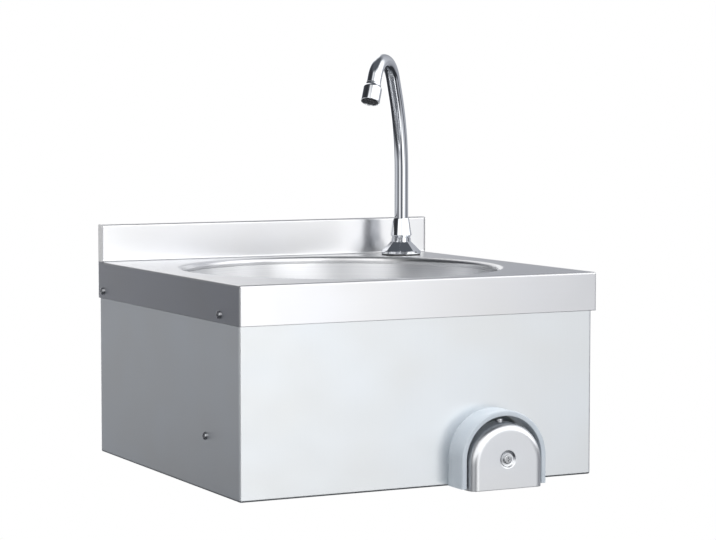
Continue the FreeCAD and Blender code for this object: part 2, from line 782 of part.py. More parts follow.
def make_knee_pad():
    """Pressed steel pan that the knee pushes, with a dimple for its screw."""
    pad = part_body("knee_pad")
    legs = "pad_z - pad_low"
    arch(pad, "Additive", "pad_radius", legs, ("pad_rear", "pad_front"))
    dress(pad, "Fillet", "pad_bend", lambda edge: edge.BoundBox.ZMin > num.pad_front - TOLERANCE
          and edge.BoundBox.YMax > num.pad_low - num.pad_z + TOLERANCE)
    doc.recompute()
    base = pad.Tip
    low = num.pad_low - num.pad_z
    hollow = pad.newObject("PartDesign::Thickness", "Hollow")
    hollow.Base = (base, faces_where(base, lambda face: face.BoundBox.ZMax < num.pad_rear + TOLERANCE
                                     or face.BoundBox.YMax < low + TOLERANCE))
    hollow.Reversed = True
    bind(hollow, Value="pad_sheet")
    dimple_y = "valve_z - pad_z"
    floor = "pad_front - dimple_depth"
    under = f"{floor} - pad_sheet"
    cylinder(pad, "Additive", "dimple_radius + pad_sheet", (0, dimple_y, under), "dimple_depth")
    cone(pad, "Subtractive", "dimple_floor", "dimple_radius", (0, dimple_y, floor), "dimple_depth")
    cylinder(pad, "Subtractive", "pad_screw_shank", (0, dimple_y, f"{under} - 1"), "pad_sheet + 2")
    cylinder(pad, "Subtractive", "top_screw_shank", (0, "pad_radius - pad_sheet - 2", "top_screw_w"),
             "pad_sheet + 4", "y")
    place(pad, "valve_x", "casing_front", "pad_z", TO_USER)


def make_pad_carrier():
    """Hub on the valve rod, with an arm to the pad's upper wall, and the pad's two screws."""
    carrier = part_body("pad_carrier")
    hub_front = "pad_front - dimple_depth - pad_sheet"
    plate = ("carrier_plate_rear", "carrier_plate_rear + carrier_sheet")
    under_top = "pad_z + pad_radius - pad_sheet - valve_z - carrier_gap"
    cylinder(carrier, "Additive", "hub_radius", (0, 0, "hub_rear"), f"{hub_front} - hub_rear")
    cylinder(carrier, "Additive", "carrier_radius", (0, 0, plate[0]), "carrier_sheet")
    arm = ("-carrier_arm_half", "carrier_arm_half")
    box(carrier, "Additive", arm, ("hub_radius", under_top), plate)
    box(carrier, "Additive", arm, (f"{under_top} - carrier_sheet", under_top), ("carrier_tab_rear", plate[1]))
    cylinder(carrier, "Subtractive", "rod_radius", (0, 0, "hub_rear - 1"), "rod_front - hub_rear + 1")
    cylinder(carrier, "Subtractive", "pad_screw_shank", (0, 0, "rod_front - 1"), "pad_front - rod_front")
    cylinder(carrier, "Subtractive", "top_screw_shank", (0, f"{under_top} - carrier_sheet - 1", "top_screw_w"),
             "carrier_sheet + 2", "y")
    place(carrier, "valve_x", "casing_front", "valve_z", TO_USER)

    screw = pan_screw("pad_screw", "pad_screw_radius", "pad_screw_head", "pad_screw_shank",
                      "pad_front - dimple_depth - pad_screw_end")
    place(screw, "valve_x", "casing_front - pad_front + dimple_depth", "valve_z", TO_USER)
    parts.append(screw)
    dome = pan_screw("pad_top_screw", "top_screw_radius", "top_screw_head", "top_screw_shank",
                     "top_screw_length")
    place(dome, "valve_x", "casing_front - top_screw_w", "pad_z + pad_radius")
    parts.append(dome)


# ---------------------------------------------------------------- valve

def on_valve_axis(item):
    place(item, "valve_x", "casing_front", "valve_z", TO_USER)


def make_valve_body():
    """Brass mixing valve: two inlets below, poppet chamber, outlet stub to the rear."""
    valve = part_body("valve_body")
    cylinder(valve, "Additive", "barrel_radius", (0, 0, "barrel_rear"), "barrel_front - barrel_rear")
    cylinder(valve, "Additive", "half_inch", (0, 0, "stub_rear"), "barrel_rear - stub_rear")
    cylinder(valve, "Additive", "arm_radius", ("-arm_reach", 0, "inlet_w"), "2 * arm_reach", "x")
    for sign in (-1, 1):
        cylinder(valve, "Additive", "inlet_boss", (f"{sign} * inlet_x", "inlet_boss_low", "inlet_w"),
                 "inlet_boss - inlet_boss_low", "y")
    cylinder(valve, "Subtractive", "gallery_bore", ("-gallery_end", 0, "inlet_w"), "2 * gallery_end", "x")
    for sign in (-1, 1):
        x = f"{sign} * inlet_x"
        cylinder(valve, "Subtractive", "inlet_spigot", (x, "inlet_boss_low - 1", "inlet_w"),
                 "inlet_spigot_top - inlet_boss_low + 1", "y")
        cylinder(valve, "Subtractive", "inlet_bore", (x, "inlet_spigot_top - 1", "inlet_w"),
                 "inlet_bore_top - inlet_spigot_top + 1", "y")
    for radius, rear, front in (
            ("mixing_radius", "mixing_rear", "barrel_front + 1"),
            ("port_radius", "port_wall_rear - 1", "mixing_rear + 1"),
            ("poppet_room_radius", "poppet_room_rear", "port_wall_rear"),
            ("stub_bore", "stub_rear - 1", "poppet_room_rear + 1")):
        cylinder(valve, "Subtractive", radius, (0, 0, rear), f"({front}) - ({rear})")
    on_valve_axis(valve)


def make_valve_front():
    """Bonnet, its seal, and the locknut that clamps the valve to its bracket."""
    bonnet = part_body("valve_bonnet")
    hexagon(bonnet, "Additive", "bonnet_flat", ("bonnet_hex_rear", "bonnet_hex_front"))
    cylinder(bonnet, "Additive", "mixing_radius", (0, 0, "bonnet_skirt_rear"),
             "bonnet_hex_rear - bonnet_skirt_rear")
    cylinder(bonnet, "Additive", "bonnet_nose", (0, 0, "bonnet_hex_front"), "bonnet_front - bonnet_hex_front")
    cylinder(bonnet, "Subtractive", "piston_radius + running_gap", (0, 0, "bonnet_skirt_rear - 1"),
             "bonnet_wall_rear - bonnet_skirt_rear + 1")
    cylinder(bonnet, "Subtractive", "rod_radius + running_gap", (0, 0, "bonnet_wall_rear - 1"),
             "bonnet_front - bonnet_wall_rear + 2")
    on_valve_axis(bonnet)

    seal = part_body("bonnet_seal")
    ring(seal, "bonnet_seal_radius", "mixing_radius", ("barrel_front", "bonnet_hex_rear"))
    on_valve_axis(seal)

    locknut = part_body("valve_locknut")
    hexagon(locknut, "Additive", "locknut_flat", (0, "locknut_height"))
    cylinder(locknut, "Subtractive", "half_inch", (0, 0, -1), "locknut_height + 2")
    place(locknut, "valve_x", "bar_y", "valve_z", ALONG["y"])


def make_valve_rod():
    """The rod that the pad pushes, with its poppet, seals and return spring."""
    rod = part_body("valve_rod")
    turned(rod, [
        (0, "poppet_rear"), ("poppet_radius", "poppet_rear"), ("poppet_radius", "poppet_front"),
        ("waist_radius", "poppet_front"), ("waist_radius", "piston_rear"), ("piston_radius", "piston_rear"),
        ("piston_radius", "groove_rear"), ("groove_radius", "groove_rear"), ("groove_radius", "groove_front"),
        ("piston_radius", "groove_front"), ("piston_radius", "piston_front"), ("rod_radius", "piston_front"),
        ("rod_radius", "rod_front"), ("pad_screw_shank", "rod_front"), ("pad_screw_shank", "pad_screw_end"),
        (0, "pad_screw_end")])
    on_valve_axis(rod)

    o_ring = part_body("rod_o_ring")
    ring(o_ring, "piston_radius", "groove_radius", ("groove_rear + ring_slack", "groove_front - ring_slack"))
    on_valve_axis(o_ring)

    seat = part_body("seat_washer")
    ring(seat, "poppet_radius", "waist_radius", ("poppet_front", "seat_front"))
    on_valve_axis(seat)

    spring = part_body("return_spring")
    wire = sketch_on(spring, "XZ_Plane")
    circle(wire, "spring_wire", "spring_radius", "bonnet_front + spring_wire + spring_gap")
    coil = spring.newObject("PartDesign::AdditiveHelix", "Coil")
    coil.Profile = wire
    coil.ReferenceAxis = (wire, ["V_Axis"])
    coil.Mode = "height-turns-angle"
    bind(coil, Height="hub_rear - bonnet_front - 2 * (spring_wire + spring_gap)", Turns="spring_turns")
    on_valve_axis(spring)


def make_inlets():
    """Hot and cold nipples with their check valves and dirt filters."""
    checks = []
    filters = []
    for side, sign in (("hot", -1), ("cold", 1)):
        x = f"valve_x + {sign} * inlet_x"
        y = "casing_front - inlet_w"
        nipple = part_body(f"inlet_nipple_{side}")
        turned(nipple, [
            ("nipple_bore", "inlet_low"), ("half_inch", "inlet_low"), ("half_inch", "inlet_boss_low"),
            ("inlet_spigot", "inlet_boss_low"), ("inlet_spigot", "inlet_spigot_top"),
            ("nipple_bore", "inlet_spigot_top")])
        place(nipple, x, y, "valve_z")
        check = new_body(f"check_valve_{side}")
        ring(check, "nipple_bore", "check_bore", ("inlet_boss_low", "check_top"))
        place(check, x, y, "valve_z")
        checks.append(check)
        dirt_filter = new_body(f"inlet_filter_{side}")
        turned(dirt_filter, [
            (0, "filter_dip"), ("check_bore", "filter_low"), ("nipple_bore", "filter_low"),
            ("nipple_bore", "filter_rim_top"), ("check_bore", "filter_tip"), (0, "filter_tip")])
        place(dirt_filter, x, y, "valve_z")
        filters.append(dirt_filter)
    group("check_valves", checks)
    group("inlet_filters", filters)


# ---------------------------------------------------------------- pipe

def pipe_edges(corners):
    """Straight runs joined by arcs as large as the runs allow, through a route's corners."""
    edges = []
    here = corners[0]
    for before, corner, after in zip(corners, corners[1:], corners[2:]):
        into = (corner - before).normalize()
        out = (after - corner).normalize()
        half_turn = into.getAngle(out) / 2
        trim = TRIM_SHARE * min((corner - before).Length, (after - corner).Length)
        bend = trim / math.tan(half_turn)
        first = corner - into * trim
        last = corner + out * trim
        inward = (out - into).normalize()
        middle = corner + inward * (bend / math.cos(half_turn) - bend)
        edges.append(Part.LineSegment(here, first).toShape())
        edges.append(Part.Arc(first, middle, last).toShape())
        here = last
        print(f"outlet_pipe: bend radius {bend:.1f} mm")
    edges.append(Part.LineSegment(here, corners[-1]).toShape())
    return edges


def make_pipe():
    """Bent copper pipe from the valve's outlet up to the tap, with a nut, a washer and a tail at each end."""
    start = Vector(num.valve_x, num.casing_front - num.stub_rear + num.pipe_washer, num.valve_z)
    end = Vector(num.tap_x, num.tap_y, num.deck_z + num.shank_low - num.pipe_washer)
    low_turn = Vector(num.valve_x, num.pipe_turn_y, num.valve_z)
    high_turn = Vector(num.tap_x, num.tap_y, num.valve_z)
    path = Part.Wire(pipe_edges([start, low_turn, high_turn, end]))
    facing_y = Vector(0, 1, 0)
    rims = [Part.Wire(Part.makeCircle(radius, start, facing_y)) for radius in (num.pipe_radius, num.pipe_bore)]
    outside, inside = [path.makePipeShell([rim], True, False) for rim in rims]
    pipe = doc.addObject("Part::Feature", "outlet_pipe")
    pipe.Shape = outside.cut(inside)
    expected = math.pi * (num.pipe_radius ** 2 - num.pipe_bore ** 2) * path.Length
    print(f"outlet_pipe: length {path.Length:.1f} mm, volume {pipe.Shape.Volume / expected:.4f} of expected")
    parts.append(pipe)

    nuts = []
    washers = []
    tails = []
    for name, where in (("valve", ("valve_x", "casing_front - stub_rear", "valve_z", ALONG["y"])),
                        ("tap", ("tap_x", "tap_y", "deck_z + shank_low", facing(Vector(0, 0, -1))))):
        nut = new_body(f"pipe_nut_{name}")
        hexagon(nut, "Additive", "pipe_nut_flat", ("-pipe_nut_grip", "pipe_washer + pipe_nut_wall"))
        cylinder(nut, "Subtractive", "half_inch", (0, 0, "-pipe_nut_grip - 1"),
                 "pipe_nut_grip + pipe_washer + 1")
        cylinder(nut, "Subtractive", "pipe_tail_radius", (0, 0, 0), "pipe_washer + pipe_nut_wall + 1")
        washer = new_body(f"pipe_washer_{name}")
        ring(washer, "half_inch", "pipe_bore", (0, "pipe_washer"))
        tail = new_body(f"pipe_tail_{name}")
        ring(tail, "pipe_tail_radius", "pipe_radius", ("pipe_washer", "pipe_washer + pipe_tail_length"))
        for item, members in ((nut, nuts), (washer, washers), (tail, tails)):
            place(item, *where)
            members.append(item)
    group("pipe_nuts", nuts)
    group("pipe_washers", washers)
    group("pipe_tails", tails)


# ---------------------------------------------------------------- tap

def on_tap_axis(item, heading=0):
    place(item, "tap_x", "tap_y", "deck_z", Rotation(Vector(0, 0, 1), heading))


def octagon(radius):
    return [(f"{radius} * cos({angle} deg)", f"{radius} * sin({angle} deg)") for angle in range(0, 360, 45)]


def make_tap_base():
    """Chromed foot with a facetted cone, threaded below for its nut and above for the cap."""
    gasket = part_body("tap_gasket")
    ring(gasket, "gasket_radius", "half_inch", (0, "gasket_height"))
    on_tap_axis(gasket)

    base = part_body("tap_base")
    turned(base, [
        (0, "shank_low"), ("half_inch", "shank_low"), ("half_inch", "gasket_height"),
        ("base_radius", "gasket_height"), ("base_radius", "base_band_top"), ("neck_radius", "base_band_top"),
        ("neck_radius", "neck_top"), ("cap_thread", "neck_top"), ("cap_thread", "seat_top"), (0, "seat_top")])
    dress(base, "Fillet", "sheet", arc_at(num.base_radius, num.base_band_top))
    low = sketch_on(base, "XY_Plane", "base_band_top")
    polygon(low, octagon("facet_low_radius"))
    high = sketch_on(base, "XY_Plane", "facet_top")
    polygon(high, octagon("facet_high_radius"))
    loft = base.newObject("PartDesign::AdditiveLoft", "Facets")
    loft.Profile = low
    loft.Sections = [high]
    loft.Ruled = True
    cylinder(base, "Subtractive", "shank_bore", (0, 0, "shank_low - 1"), "socket_floor - shank_low + 2")
    cylinder(base, "Subtractive", "socket_radius", (0, 0, "socket_floor"), "seat_top - socket_floor + 1")
    on_tap_axis(base, num.facet_heading)

    under = "-sheet - deck_washer"
    seal = part_body("tap_seal_washer")
    ring(seal, "washer_radius", "half_inch", (under, "-sheet"))
    clamp = part_body("tap_clamp_washer")
    ring(clamp, "washer_radius", "half_inch", (f"{under} - clamp_washer", under))
    nut = part_body("tap_nut")
    top = f"{under} - clamp_washer"
    hexagon(nut, "Additive", "tap_nut_flat", (f"{top} - tap_nut_height", top))
    cylinder(nut, "Subtractive", "half_inch", (0, 0, f"{top} - tap_nut_height - 1"), "tap_nut_height + 2")
    for item in (seal, clamp, nut):
        on_tap_axis(item)


def make_swivel():
    """Conical cap and glide washer that hold the spout down but let it turn."""
    cap = part_body("swivel_cap")
    turned(cap, [
        ("cap_thread", "cap_low"), ("cap_low_radius", "cap_low"), ("cap_top_radius", "cap_top"),
        ("cap_bore", "cap_top"), ("cap_bore", "cap_shoulder"), ("cap_room_radius", "cap_shoulder"),
        ("cap_room_radius", "cap_room_low"), ("cap_thread", "cap_room_low")])
    on_tap_axis(cap)
    glide = part_body("glide_washer")
    ring(glide, "cap_room_radius", "glide_bore", ("cap_shoulder - glide_height", "cap_shoulder"))
    on_tap_axis(glide)

    stub = part_body("spout_stub")
    profile = [("stub_bore_radius", "stub_low"), ("stub_radius", "stub_low")]
    for low in ("ring_low", "ring_high"):
        profile += [("stub_radius", low), ("ring_groove_radius", low),
                    ("ring_groove_radius", f"{low} + ring_groove"), ("stub_radius", f"{low} + ring_groove")]
    profile += [
        ("stub_radius", "stub_flange_low"), ("stub_flange_radius", "stub_flange_low"),
        ("stub_flange_radius", "stub_flange_top"), ("tube_bore", "stub_flange_top"), ("tube_bore", "stub_top"),
        ("stub_bore_radius", "stub_top")]
    turned(stub, profile)
    on_tap_axis(stub)
    rings = []
    for number, low in enumerate(("ring_low", "ring_high"), start=1):
        o_ring = new_body(f"spout_o_ring_{number}")
        wire = "(stub_radius - ring_groove_radius)/2"
        torus(o_ring, "Additive", f"ring_groove_radius + {wire}", wire, f"{low} + ring_groove/2")
        on_tap_axis(o_ring)
        rings.append(o_ring)
    group("spout_o_rings", rings)


def spout_path(sketch, first_z, end_short):
    """Rise, gentle lean, short run, tight crook and the run down to the nozzle."""
    lean = math.radians(num.lean)
    crook = math.radians(num.crook)

    def along(angle):
        return Vector(math.sin(angle), math.cos(angle), 0)

    def rim(centre, bend, angle):
        return centre + Vector(-math.cos(angle), math.sin(angle), 0) * bend

    rise = Vector(0, num.rise_top, 0)
    lean_centre = rise + Vector(num.lean_bend, 0, 0)
    leant = rim(lean_centre, num.lean_bend, lean)
    run_end = leant + along(lean) * num.lean_run
    crook_centre = run_end + Vector(math.cos(lean), -math.sin(lean), 0) * num.crook_bend
    crooked = rim(crook_centre, num.crook_bend, crook)
    end = crooked + along(crook) * (num.crook_run - end_short)
    sketch.addGeometry([
        Part.LineSegment(Vector(0, first_z, 0), rise),
        Part.Arc(rise, rim(lean_centre, num.lean_bend, lean / 2), leant),
        Part.LineSegment(leant, run_end),
        Part.Arc(run_end, rim(crook_centre, num.crook_bend, (lean + crook) / 2), crooked),
        Part.LineSegment(crooked, end)], False)
    for before, arc, after in ((0, 1, 2), (2, 3, 4)):
        sketch.addConstraint(Sketcher.Constraint("Tangent", before, 2, arc, 2))
        sketch.addConstraint(Sketcher.Constraint("Tangent", arc, 1, after, 1))
    sketch.addConstraint([Sketcher.Constraint("Vertical", 0), Sketcher.Constraint("PointOnObject", 0, 1, -2)])
    for constraint, text in (
            (Sketcher.Constraint("DistanceY", -1, 1, 0, 1, first_z), "stub_flange_top"),
            (Sketcher.Constraint("DistanceY", -1, 1, 0, 2, num.rise_top), "rise_top"),
            (Sketcher.Constraint("Radius", 1, num.lean_bend), "lean_bend"),
            (Sketcher.Constraint("Distance", 2, num.lean_run), "lean_run"),
            (Sketcher.Constraint("Radius", 3, num.crook_bend), "crook_bend"),
            (Sketcher.Constraint("Distance", 4, num.crook_run - end_short), "crook_run - tube_end"),
            (Sketcher.Constraint("Angle", 2, math.radians(90 - num.lean)), "90 deg - lean * 1 deg"),
            (Sketcher.Constraint("Angle", 4, math.radians(90 - num.crook)), "90 deg - crook * 1 deg")):
        index = sketch.addConstraint(constraint)
        sketch.setExpression(f"Constraints[{index}]", sized(text))


def make_spout():
    """Swan-neck tube and the nozzle screwed to its end."""
    tube = part_body("spout_tube")
    path = sketch_on(tube, "XZ_Plane")
    spout_path(path, num.stub_flange_top, num.tube_end)
    wall = sketch_on(tube, "XY_Plane", "stub_flange_top")
    circle(wall, "tube_radius")
    circle(wall, "tube_bore")
    pipe = tube.newObject("PartDesign::AdditivePipe", "Pipe")
    pipe.Profile = wall
    pipe.Spine = path
    on_tap_axis(tube, num.spout_heading)

    reach = ("(lean_bend * (1 - cos({lean} deg)) + lean_run * sin({lean} deg)"
             " + crook_bend * (cos({lean} deg) - cos({crook} deg)) + crook_run * sin({crook} deg))")
    height = ("(rise_top + lean_bend * sin({lean} deg) + lean_run * cos({lean} deg)"
              " + crook_bend * (sin({crook} deg) - sin({lean} deg)) + crook_run * cos({crook} deg))")
    reach = reach.format(lean=num.lean, crook=num.crook)
    height = height.format(lean=num.lean, crook=num.crook)
    turn = Rotation(Vector(0, 0, 1), num.spout_heading).multiply(Rotation(Vector(0, 1, 0), num.crook - 180))

    housing = part_body("nozzle_housing")
    turned(housing, [
        ("nozzle_room", 0), ("nozzle_radius", 0), ("nozzle_radius", "nozzle_shoulder"),
        ("nozzle_neck", "nozzle_length"), ("tube_radius", "nozzle_length"), ("tube_radius", "tube_end"),
        ("nozzle_stop_radius", "tube_end"), ("nozzle_stop_radius", "nozzle_room_top"),
        ("nozzle_room", "nozzle_room_top")])
    dress(housing, "Fillet", "collar_edge", arc_at(num.nozzle_radius, num.nozzle_shoulder))
    insert = part_body("nozzle_insert")
    cylinder(insert, "Additive", "insert_radius", (0, 0, "insert_low"), "insert_top - insert_low")
    for number in range(num.jet_count):
        angle = 360 / num.jet_count * number
        cylinder(insert, "Subtractive", "jet_radius",
                 (f"jet_ring * cos({angle} deg)", f"jet_ring * sin({angle} deg)", 0), "insert_top + 1")
    seal = part_body("nozzle_seal")
    ring(seal, "insert_radius", "nozzle_stop_radius", ("insert_top", "nozzle_room_top"))
    for item in (housing, insert, seal):
        place(item, f"tap_x + {reach} * cos({num.spout_heading} deg)",
              f"tap_y + {reach} * sin({num.spout_heading} deg)", f"deck_z + {height}", turn)


# ---------------------------------------------------------------- waste

def on_drain_axis(item):
    place(item, 0, "bowl_y", "deck_z - bowl_depth")


def make_strainer():
    """Strainer plate, its centre screw and the seals above and below the bowl."""
    strainer = part_body("drain_strainer")
    turned(strainer, [
        (0, "strainer_floor"), ("strainer_step_in", "strainer_floor"), ("strainer_step_out", "drain_seal"),
        ("strainer_radius", "drain_seal"), ("strainer_radius", "strainer_rim_top"),
        ("strainer_step_out", "strainer_rim_top"), ("strainer_step_in", "strainer_floor + strainer_sheet"),
        (0, "strainer_floor + strainer_sheet")])
    rings = (("strainer_ring_one", num.strainer_count_one), ("strainer_ring_two", num.strainer_count_two))
    for radius, count in rings:
        for number in range(count):
            angle = 360 / count * number
            cylinder(strainer, "Subtractive", "strainer_hole",
                     (f"{radius} * cos({angle} deg)", f"{radius} * sin({angle} deg)", "strainer_floor - 1"),
                     "strainer_sheet + 2")
    cylinder(strainer, "Subtractive", "waste_screw", (0, 0, "strainer_floor - 1"), "strainer_sheet + 2")
    top_seal = part_body("drain_top_seal")
    ring(top_seal, "seal_radius", "drain_hole_radius", (0, "drain_seal"))
    low_seal = part_body("drain_low_seal")
    ring(low_seal, "waste_rim_radius", "drain_hole_radius", ("waste_seal_low", "-sheet"))
    screw = pan_screw("drain_screw", "waste_screw_head", "waste_screw_head_height", "waste_screw",
                      "strainer_floor + strainer_sheet - waste_screw_low")
    place(screw, 0, "bowl_y", "deck_z - bowl_depth + strainer_floor + strainer_sheet")
    parts.append(screw)
    for item in (strainer, top_seal, low_seal):
        on_drain_axis(item)


def make_waste():
    """Waste body, coupling nut, cone seal and tailpiece under the bowl."""
    waste = part_body("waste_body")
    turned(waste, [
        ("waste_cup_bore", "waste_seal_low"), ("waste_rim_radius", "waste_seal_low"),
        ("waste_rim_radius", "waste_rim_low"), ("waste_cup_radius", "waste_rim_low"),
        ("waste_cup_radius", "waste_cup_low"), ("waste_thread", "waste_cup_low"), ("waste_thread", "waste_low"),
        ("waste_bore", "waste_low"), ("waste_bore", "waste_floor_low"), ("waste_cup_bore", "waste_floor_low")])
    cylinder(waste, "Additive", "waste_hub", (0, 0, "waste_hub_low"), "waste_hub_top - waste_hub_low")
    for across, along in (("waste_cup_bore + 1", "waste_rib/2"), ("waste_rib/2", "waste_cup_bore + 1")):
        rib_z = ("waste_hub_low", "waste_rib_top")
        box(waste, "Additive", (f"-({across})", across), (f"-({along})", along), rib_z)
    cylinder(waste, "Subtractive", "waste_screw", (0, 0, "waste_hub_low - 1"),
             "waste_hub_top - waste_hub_low + 2")
    on_drain_axis(waste)

    coupling = part_body("coupling_nut")
    turned(coupling, [
        ("coupling_bore", "coupling_low"), ("coupling_radius", "coupling_low"),
        ("coupling_radius", "coupling_top"), ("waste_thread", "coupling_top"),
        ("waste_thread", "coupling_low + coupling_floor"),
        ("coupling_bore", "coupling_low + coupling_floor")])
    for number in range(num.coupling_ribs):
        angle = 360 / num.coupling_ribs * number
        start = (f"coupling_radius * cos({angle} deg)", f"coupling_radius * sin({angle} deg)", "coupling_low + 1")
        cylinder(coupling, "Additive", "coupling_rib", start, "coupling_top - coupling_low - 2")
    on_drain_axis(coupling)

    seal = part_body("cone_seal")
    turned(seal, [("tail_radius", "cone_low"), ("cone_radius", "cone_low"), ("cone_radius", "cone_rim_top"),
                  ("cone_top_radius", "waste_low"), ("tail_radius", "waste_low")])
    on_drain_axis(seal)

    tail = part_body("tailpiece")
    turned(tail, [
        ("tail_bore", "tail_low"), ("spigot_40_radius", "tail_low"), ("spigot_40_radius", "tail_step"),
        ("tail_radius", "tail_step"), ("tail_radius", "tail_top"), ("tail_bore", "tail_top")])
    on_drain_axis(tail)


# ---------------------------------------------------------------- the whole sink

def export_parts():
    """Check every object, then write each sub-part to its own STEP file."""
    doc.recompute()
    failed = [item.Label for item in doc.Objects if "Invalid" in item.State or "Error" in item.State]
    if failed:
        raise RuntimeError(f"failed objects: {failed}")
    os.makedirs("parts", exist_ok=True)
    for item in parts:
        shape = item.Shape
        if shape.isNull() or not shape.isValid() or not shape.Solids:
            raise RuntimeError(f"{item.Label}: no valid solid")
        shape.exportStep(f"parts/{item.Label}.step")
        bound = shape.BoundBox
        print(f"{item.Label:22s} solids {len(shape.Solids)}  volume {shape.Volume:10.0f}"
              f"  x {bound.XMin:7.1f} {bound.XMax:7.1f}  y {bound.YMin:7.1f} {bound.YMax:7.1f}"
              f"  z {bound.ZMin:7.1f} {bound.ZMax:7.1f}")
    print(f"{len(parts)} sub-parts")


for make in (
        make_sink_top, make_bowl, make_casing, make_wall_rail, make_valve_carrier, make_sheet_screws,
        make_collar, make_knee_pad, make_pad_carrier, make_valve_body, make_valve_front, make_valve_rod,
        make_inlets, make_pipe, make_tap_base, make_swivel, make_spout, make_strainer, make_waste):
    make()
export_parts()
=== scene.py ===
"""Looks of a wall-hung stainless steel hand wash sink with a knee-operated valve.

Sizes are written in millimetres, in the sink's own frame: X to the user's right, Y into
the wall, Z up, and the origin in the middle of the two wall fixings.
"""
import math

import bmesh
import bpy
from bmesh.types import BMEdge, BMFace, BMVert
from bpy.props import FloatProperty, FloatVectorProperty, IntProperty, PointerProperty
from mathutils import Matrix, Vector


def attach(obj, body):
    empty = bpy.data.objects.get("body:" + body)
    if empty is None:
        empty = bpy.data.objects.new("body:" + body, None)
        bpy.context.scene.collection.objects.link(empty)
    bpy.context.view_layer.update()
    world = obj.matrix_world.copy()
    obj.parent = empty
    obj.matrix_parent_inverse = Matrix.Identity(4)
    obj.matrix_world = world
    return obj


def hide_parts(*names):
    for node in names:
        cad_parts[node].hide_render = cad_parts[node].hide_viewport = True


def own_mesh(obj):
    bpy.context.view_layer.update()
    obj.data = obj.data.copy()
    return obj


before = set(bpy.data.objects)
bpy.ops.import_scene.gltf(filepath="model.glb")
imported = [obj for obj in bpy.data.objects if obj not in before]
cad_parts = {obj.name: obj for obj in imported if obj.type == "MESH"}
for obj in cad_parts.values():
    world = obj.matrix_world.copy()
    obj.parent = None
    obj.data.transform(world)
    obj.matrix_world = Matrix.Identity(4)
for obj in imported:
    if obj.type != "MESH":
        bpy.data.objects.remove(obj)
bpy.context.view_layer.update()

bl_info = {
    "name": "Knee-Operated Hand Wash Sink",
    "version": (1, 0, 0),
    "blender": (4, 5, 0),
    "location": "3D View > Sidebar > Sink",
    "description": "Builds the finish of a stainless steel hand wash sink around its frame",
    "category": "Object",
}

MM = 0.001
X = Vector((1, 0, 0))
Y = Vector((0, 1, 0))
Z = Vector((0, 0, 1))

# sides of a full turn, and the angle in degrees past which an edge is shaded sharp
ROUND = 64
CREASE = 40

# the sheet metal
HALF_WIDTH = 200
SHEET = 1
DECK_Z = 32
SPLASH_RISE = 40.5
SPLASH_DEPTH = 11
WELD_INSET = 0.3
WELD_HEIGHT = 0.15
WELD_SUNK = 0.05
CASING_HALF = 197.8
CASING_FRONT = -373.6
CASING_LOW = -177.5
BOWL_Y = -193
SCREW_Z = 0.5
FRONT_SCREW_Y = -331.1

# the bar and the bracket that carry the valve
BAR_Y = -300.7
BAR_Z = -122.9
BAR_SHEET = 2
BAR_SCREW_SETBACK = 10
BRACKET_SHEET = 3
BOLT_OFFSET = 20

# the valve's axis, along which heights run forward from the casing
VALVE_X = 79
VALVE_Z = -149.5
BONNET_FRONT = -5
HUB_REAR = 22
SPRING_WIRE = 0.8
SPRING_RADIUS = 8.4
WIRE_SIDES = 10
HALF_INCH = 10.48
THREAD_ROOT = HALF_INCH - 0.1
INLET_X = 22
INLET_Y = CASING_FRONT + 34
INLET_LOW = VALVE_Z - 27
STUB_REAR = -95

# the knee pad and the collar round it
COLLAR_Z = -149.8
COLLAR_OUTER = 48.5
COLLAR_INNER = 43
COLLAR_PROUD = 28
COLLAR_RISE = 3.3
COLLAR_EDGE = 1.6
SPIGOT_RADIUS = 46
PAD_Z = -154.3
PAD_RADIUS = 41.3
PAD_LOW = -179.4
PAD_REAR = 14
PAD_FRONT = 35
PAD_SHEET = 1.2
PAD_BEND = 8
DIMPLE_RADIUS = 8.8
DIMPLE_FLOOR = 6.6
DIMPLE_DEPTH = 2
PAD_SCREW_HOLE = 2.5

# the tap's axis, up which heights run from the deck
TAP_X = 148.1
TAP_Y = -49.2
GASKET_RADIUS = 22
GASKET_TOP = 1.5
BAND_RADIUS = 22.5
BAND_TOP = 5.3
FACET_LOW = 22
FACET_HIGH = 11.4
FACET_TOP = 15.3
FACET_HEADING = 12.4
FACET_SUNK = 0.6
NECK_RADIUS = 11
NECK_TOP = 21.9
SOCKET_RADIUS = 9.5
SOCKET_TOP = 30
SHANK_LOW = -48
SHANK_BORE = 5
SHANK_THREAD_TOP = -13.5
TUBE_RADIUS = 8
SPOUT_HEADING = -138
TUBE_START = 32.2
RISE_TOP = 94.6
LEAN_BEND = 204
LEAN = 25
LEAN_RUN = 22
CROOK_BEND = 31.5
CROOK = 152.6
CROOK_RUN = 31.5
NOZZLE_OVERLAP = 8
SCREEN_RADIUS = 8.9
SCREEN_DEPTH = 5
SCREEN_SETBACK = 0.9
CELL_WALL = 0.09
CELL_DEPTH = 0.5

# the waste, down from the floor of the bowl's recess
WASTE_Z = DECK_Z - 127
WASTE_RADIUS = 23.9
WASTE_THREAD_LOW = -38.6
WASTE_PITCH = 2.8

# hexagons: width across the flats, the bore's radius, and the two heights they stand between
SIDE_NUT = (7, 2, -3.2, 0)
BOLT_HEAD = (8, 2.4, 0, 3.5)
BOLT_NUT = (8, 2.5, 0, 4.5)
LOCKNUT = (27, HALF_INCH, 0, 6)
TAP_NUT = (30, HALF_INCH, -10.5, -4.5)
BONNET_HEXAGON = (30, 8.1, -21, -12)
PIPE_NUT = (25, HALF_INCH, -10, 5)


# ---------------------------------------------------------------- colour and nodes

# the range that most of a noise lies in, which a finish spreads over its own values
NOISE_RANGE = {"From Min": 0.3, "From Max": 0.7}
SCRATCH_SHADE = 0.991


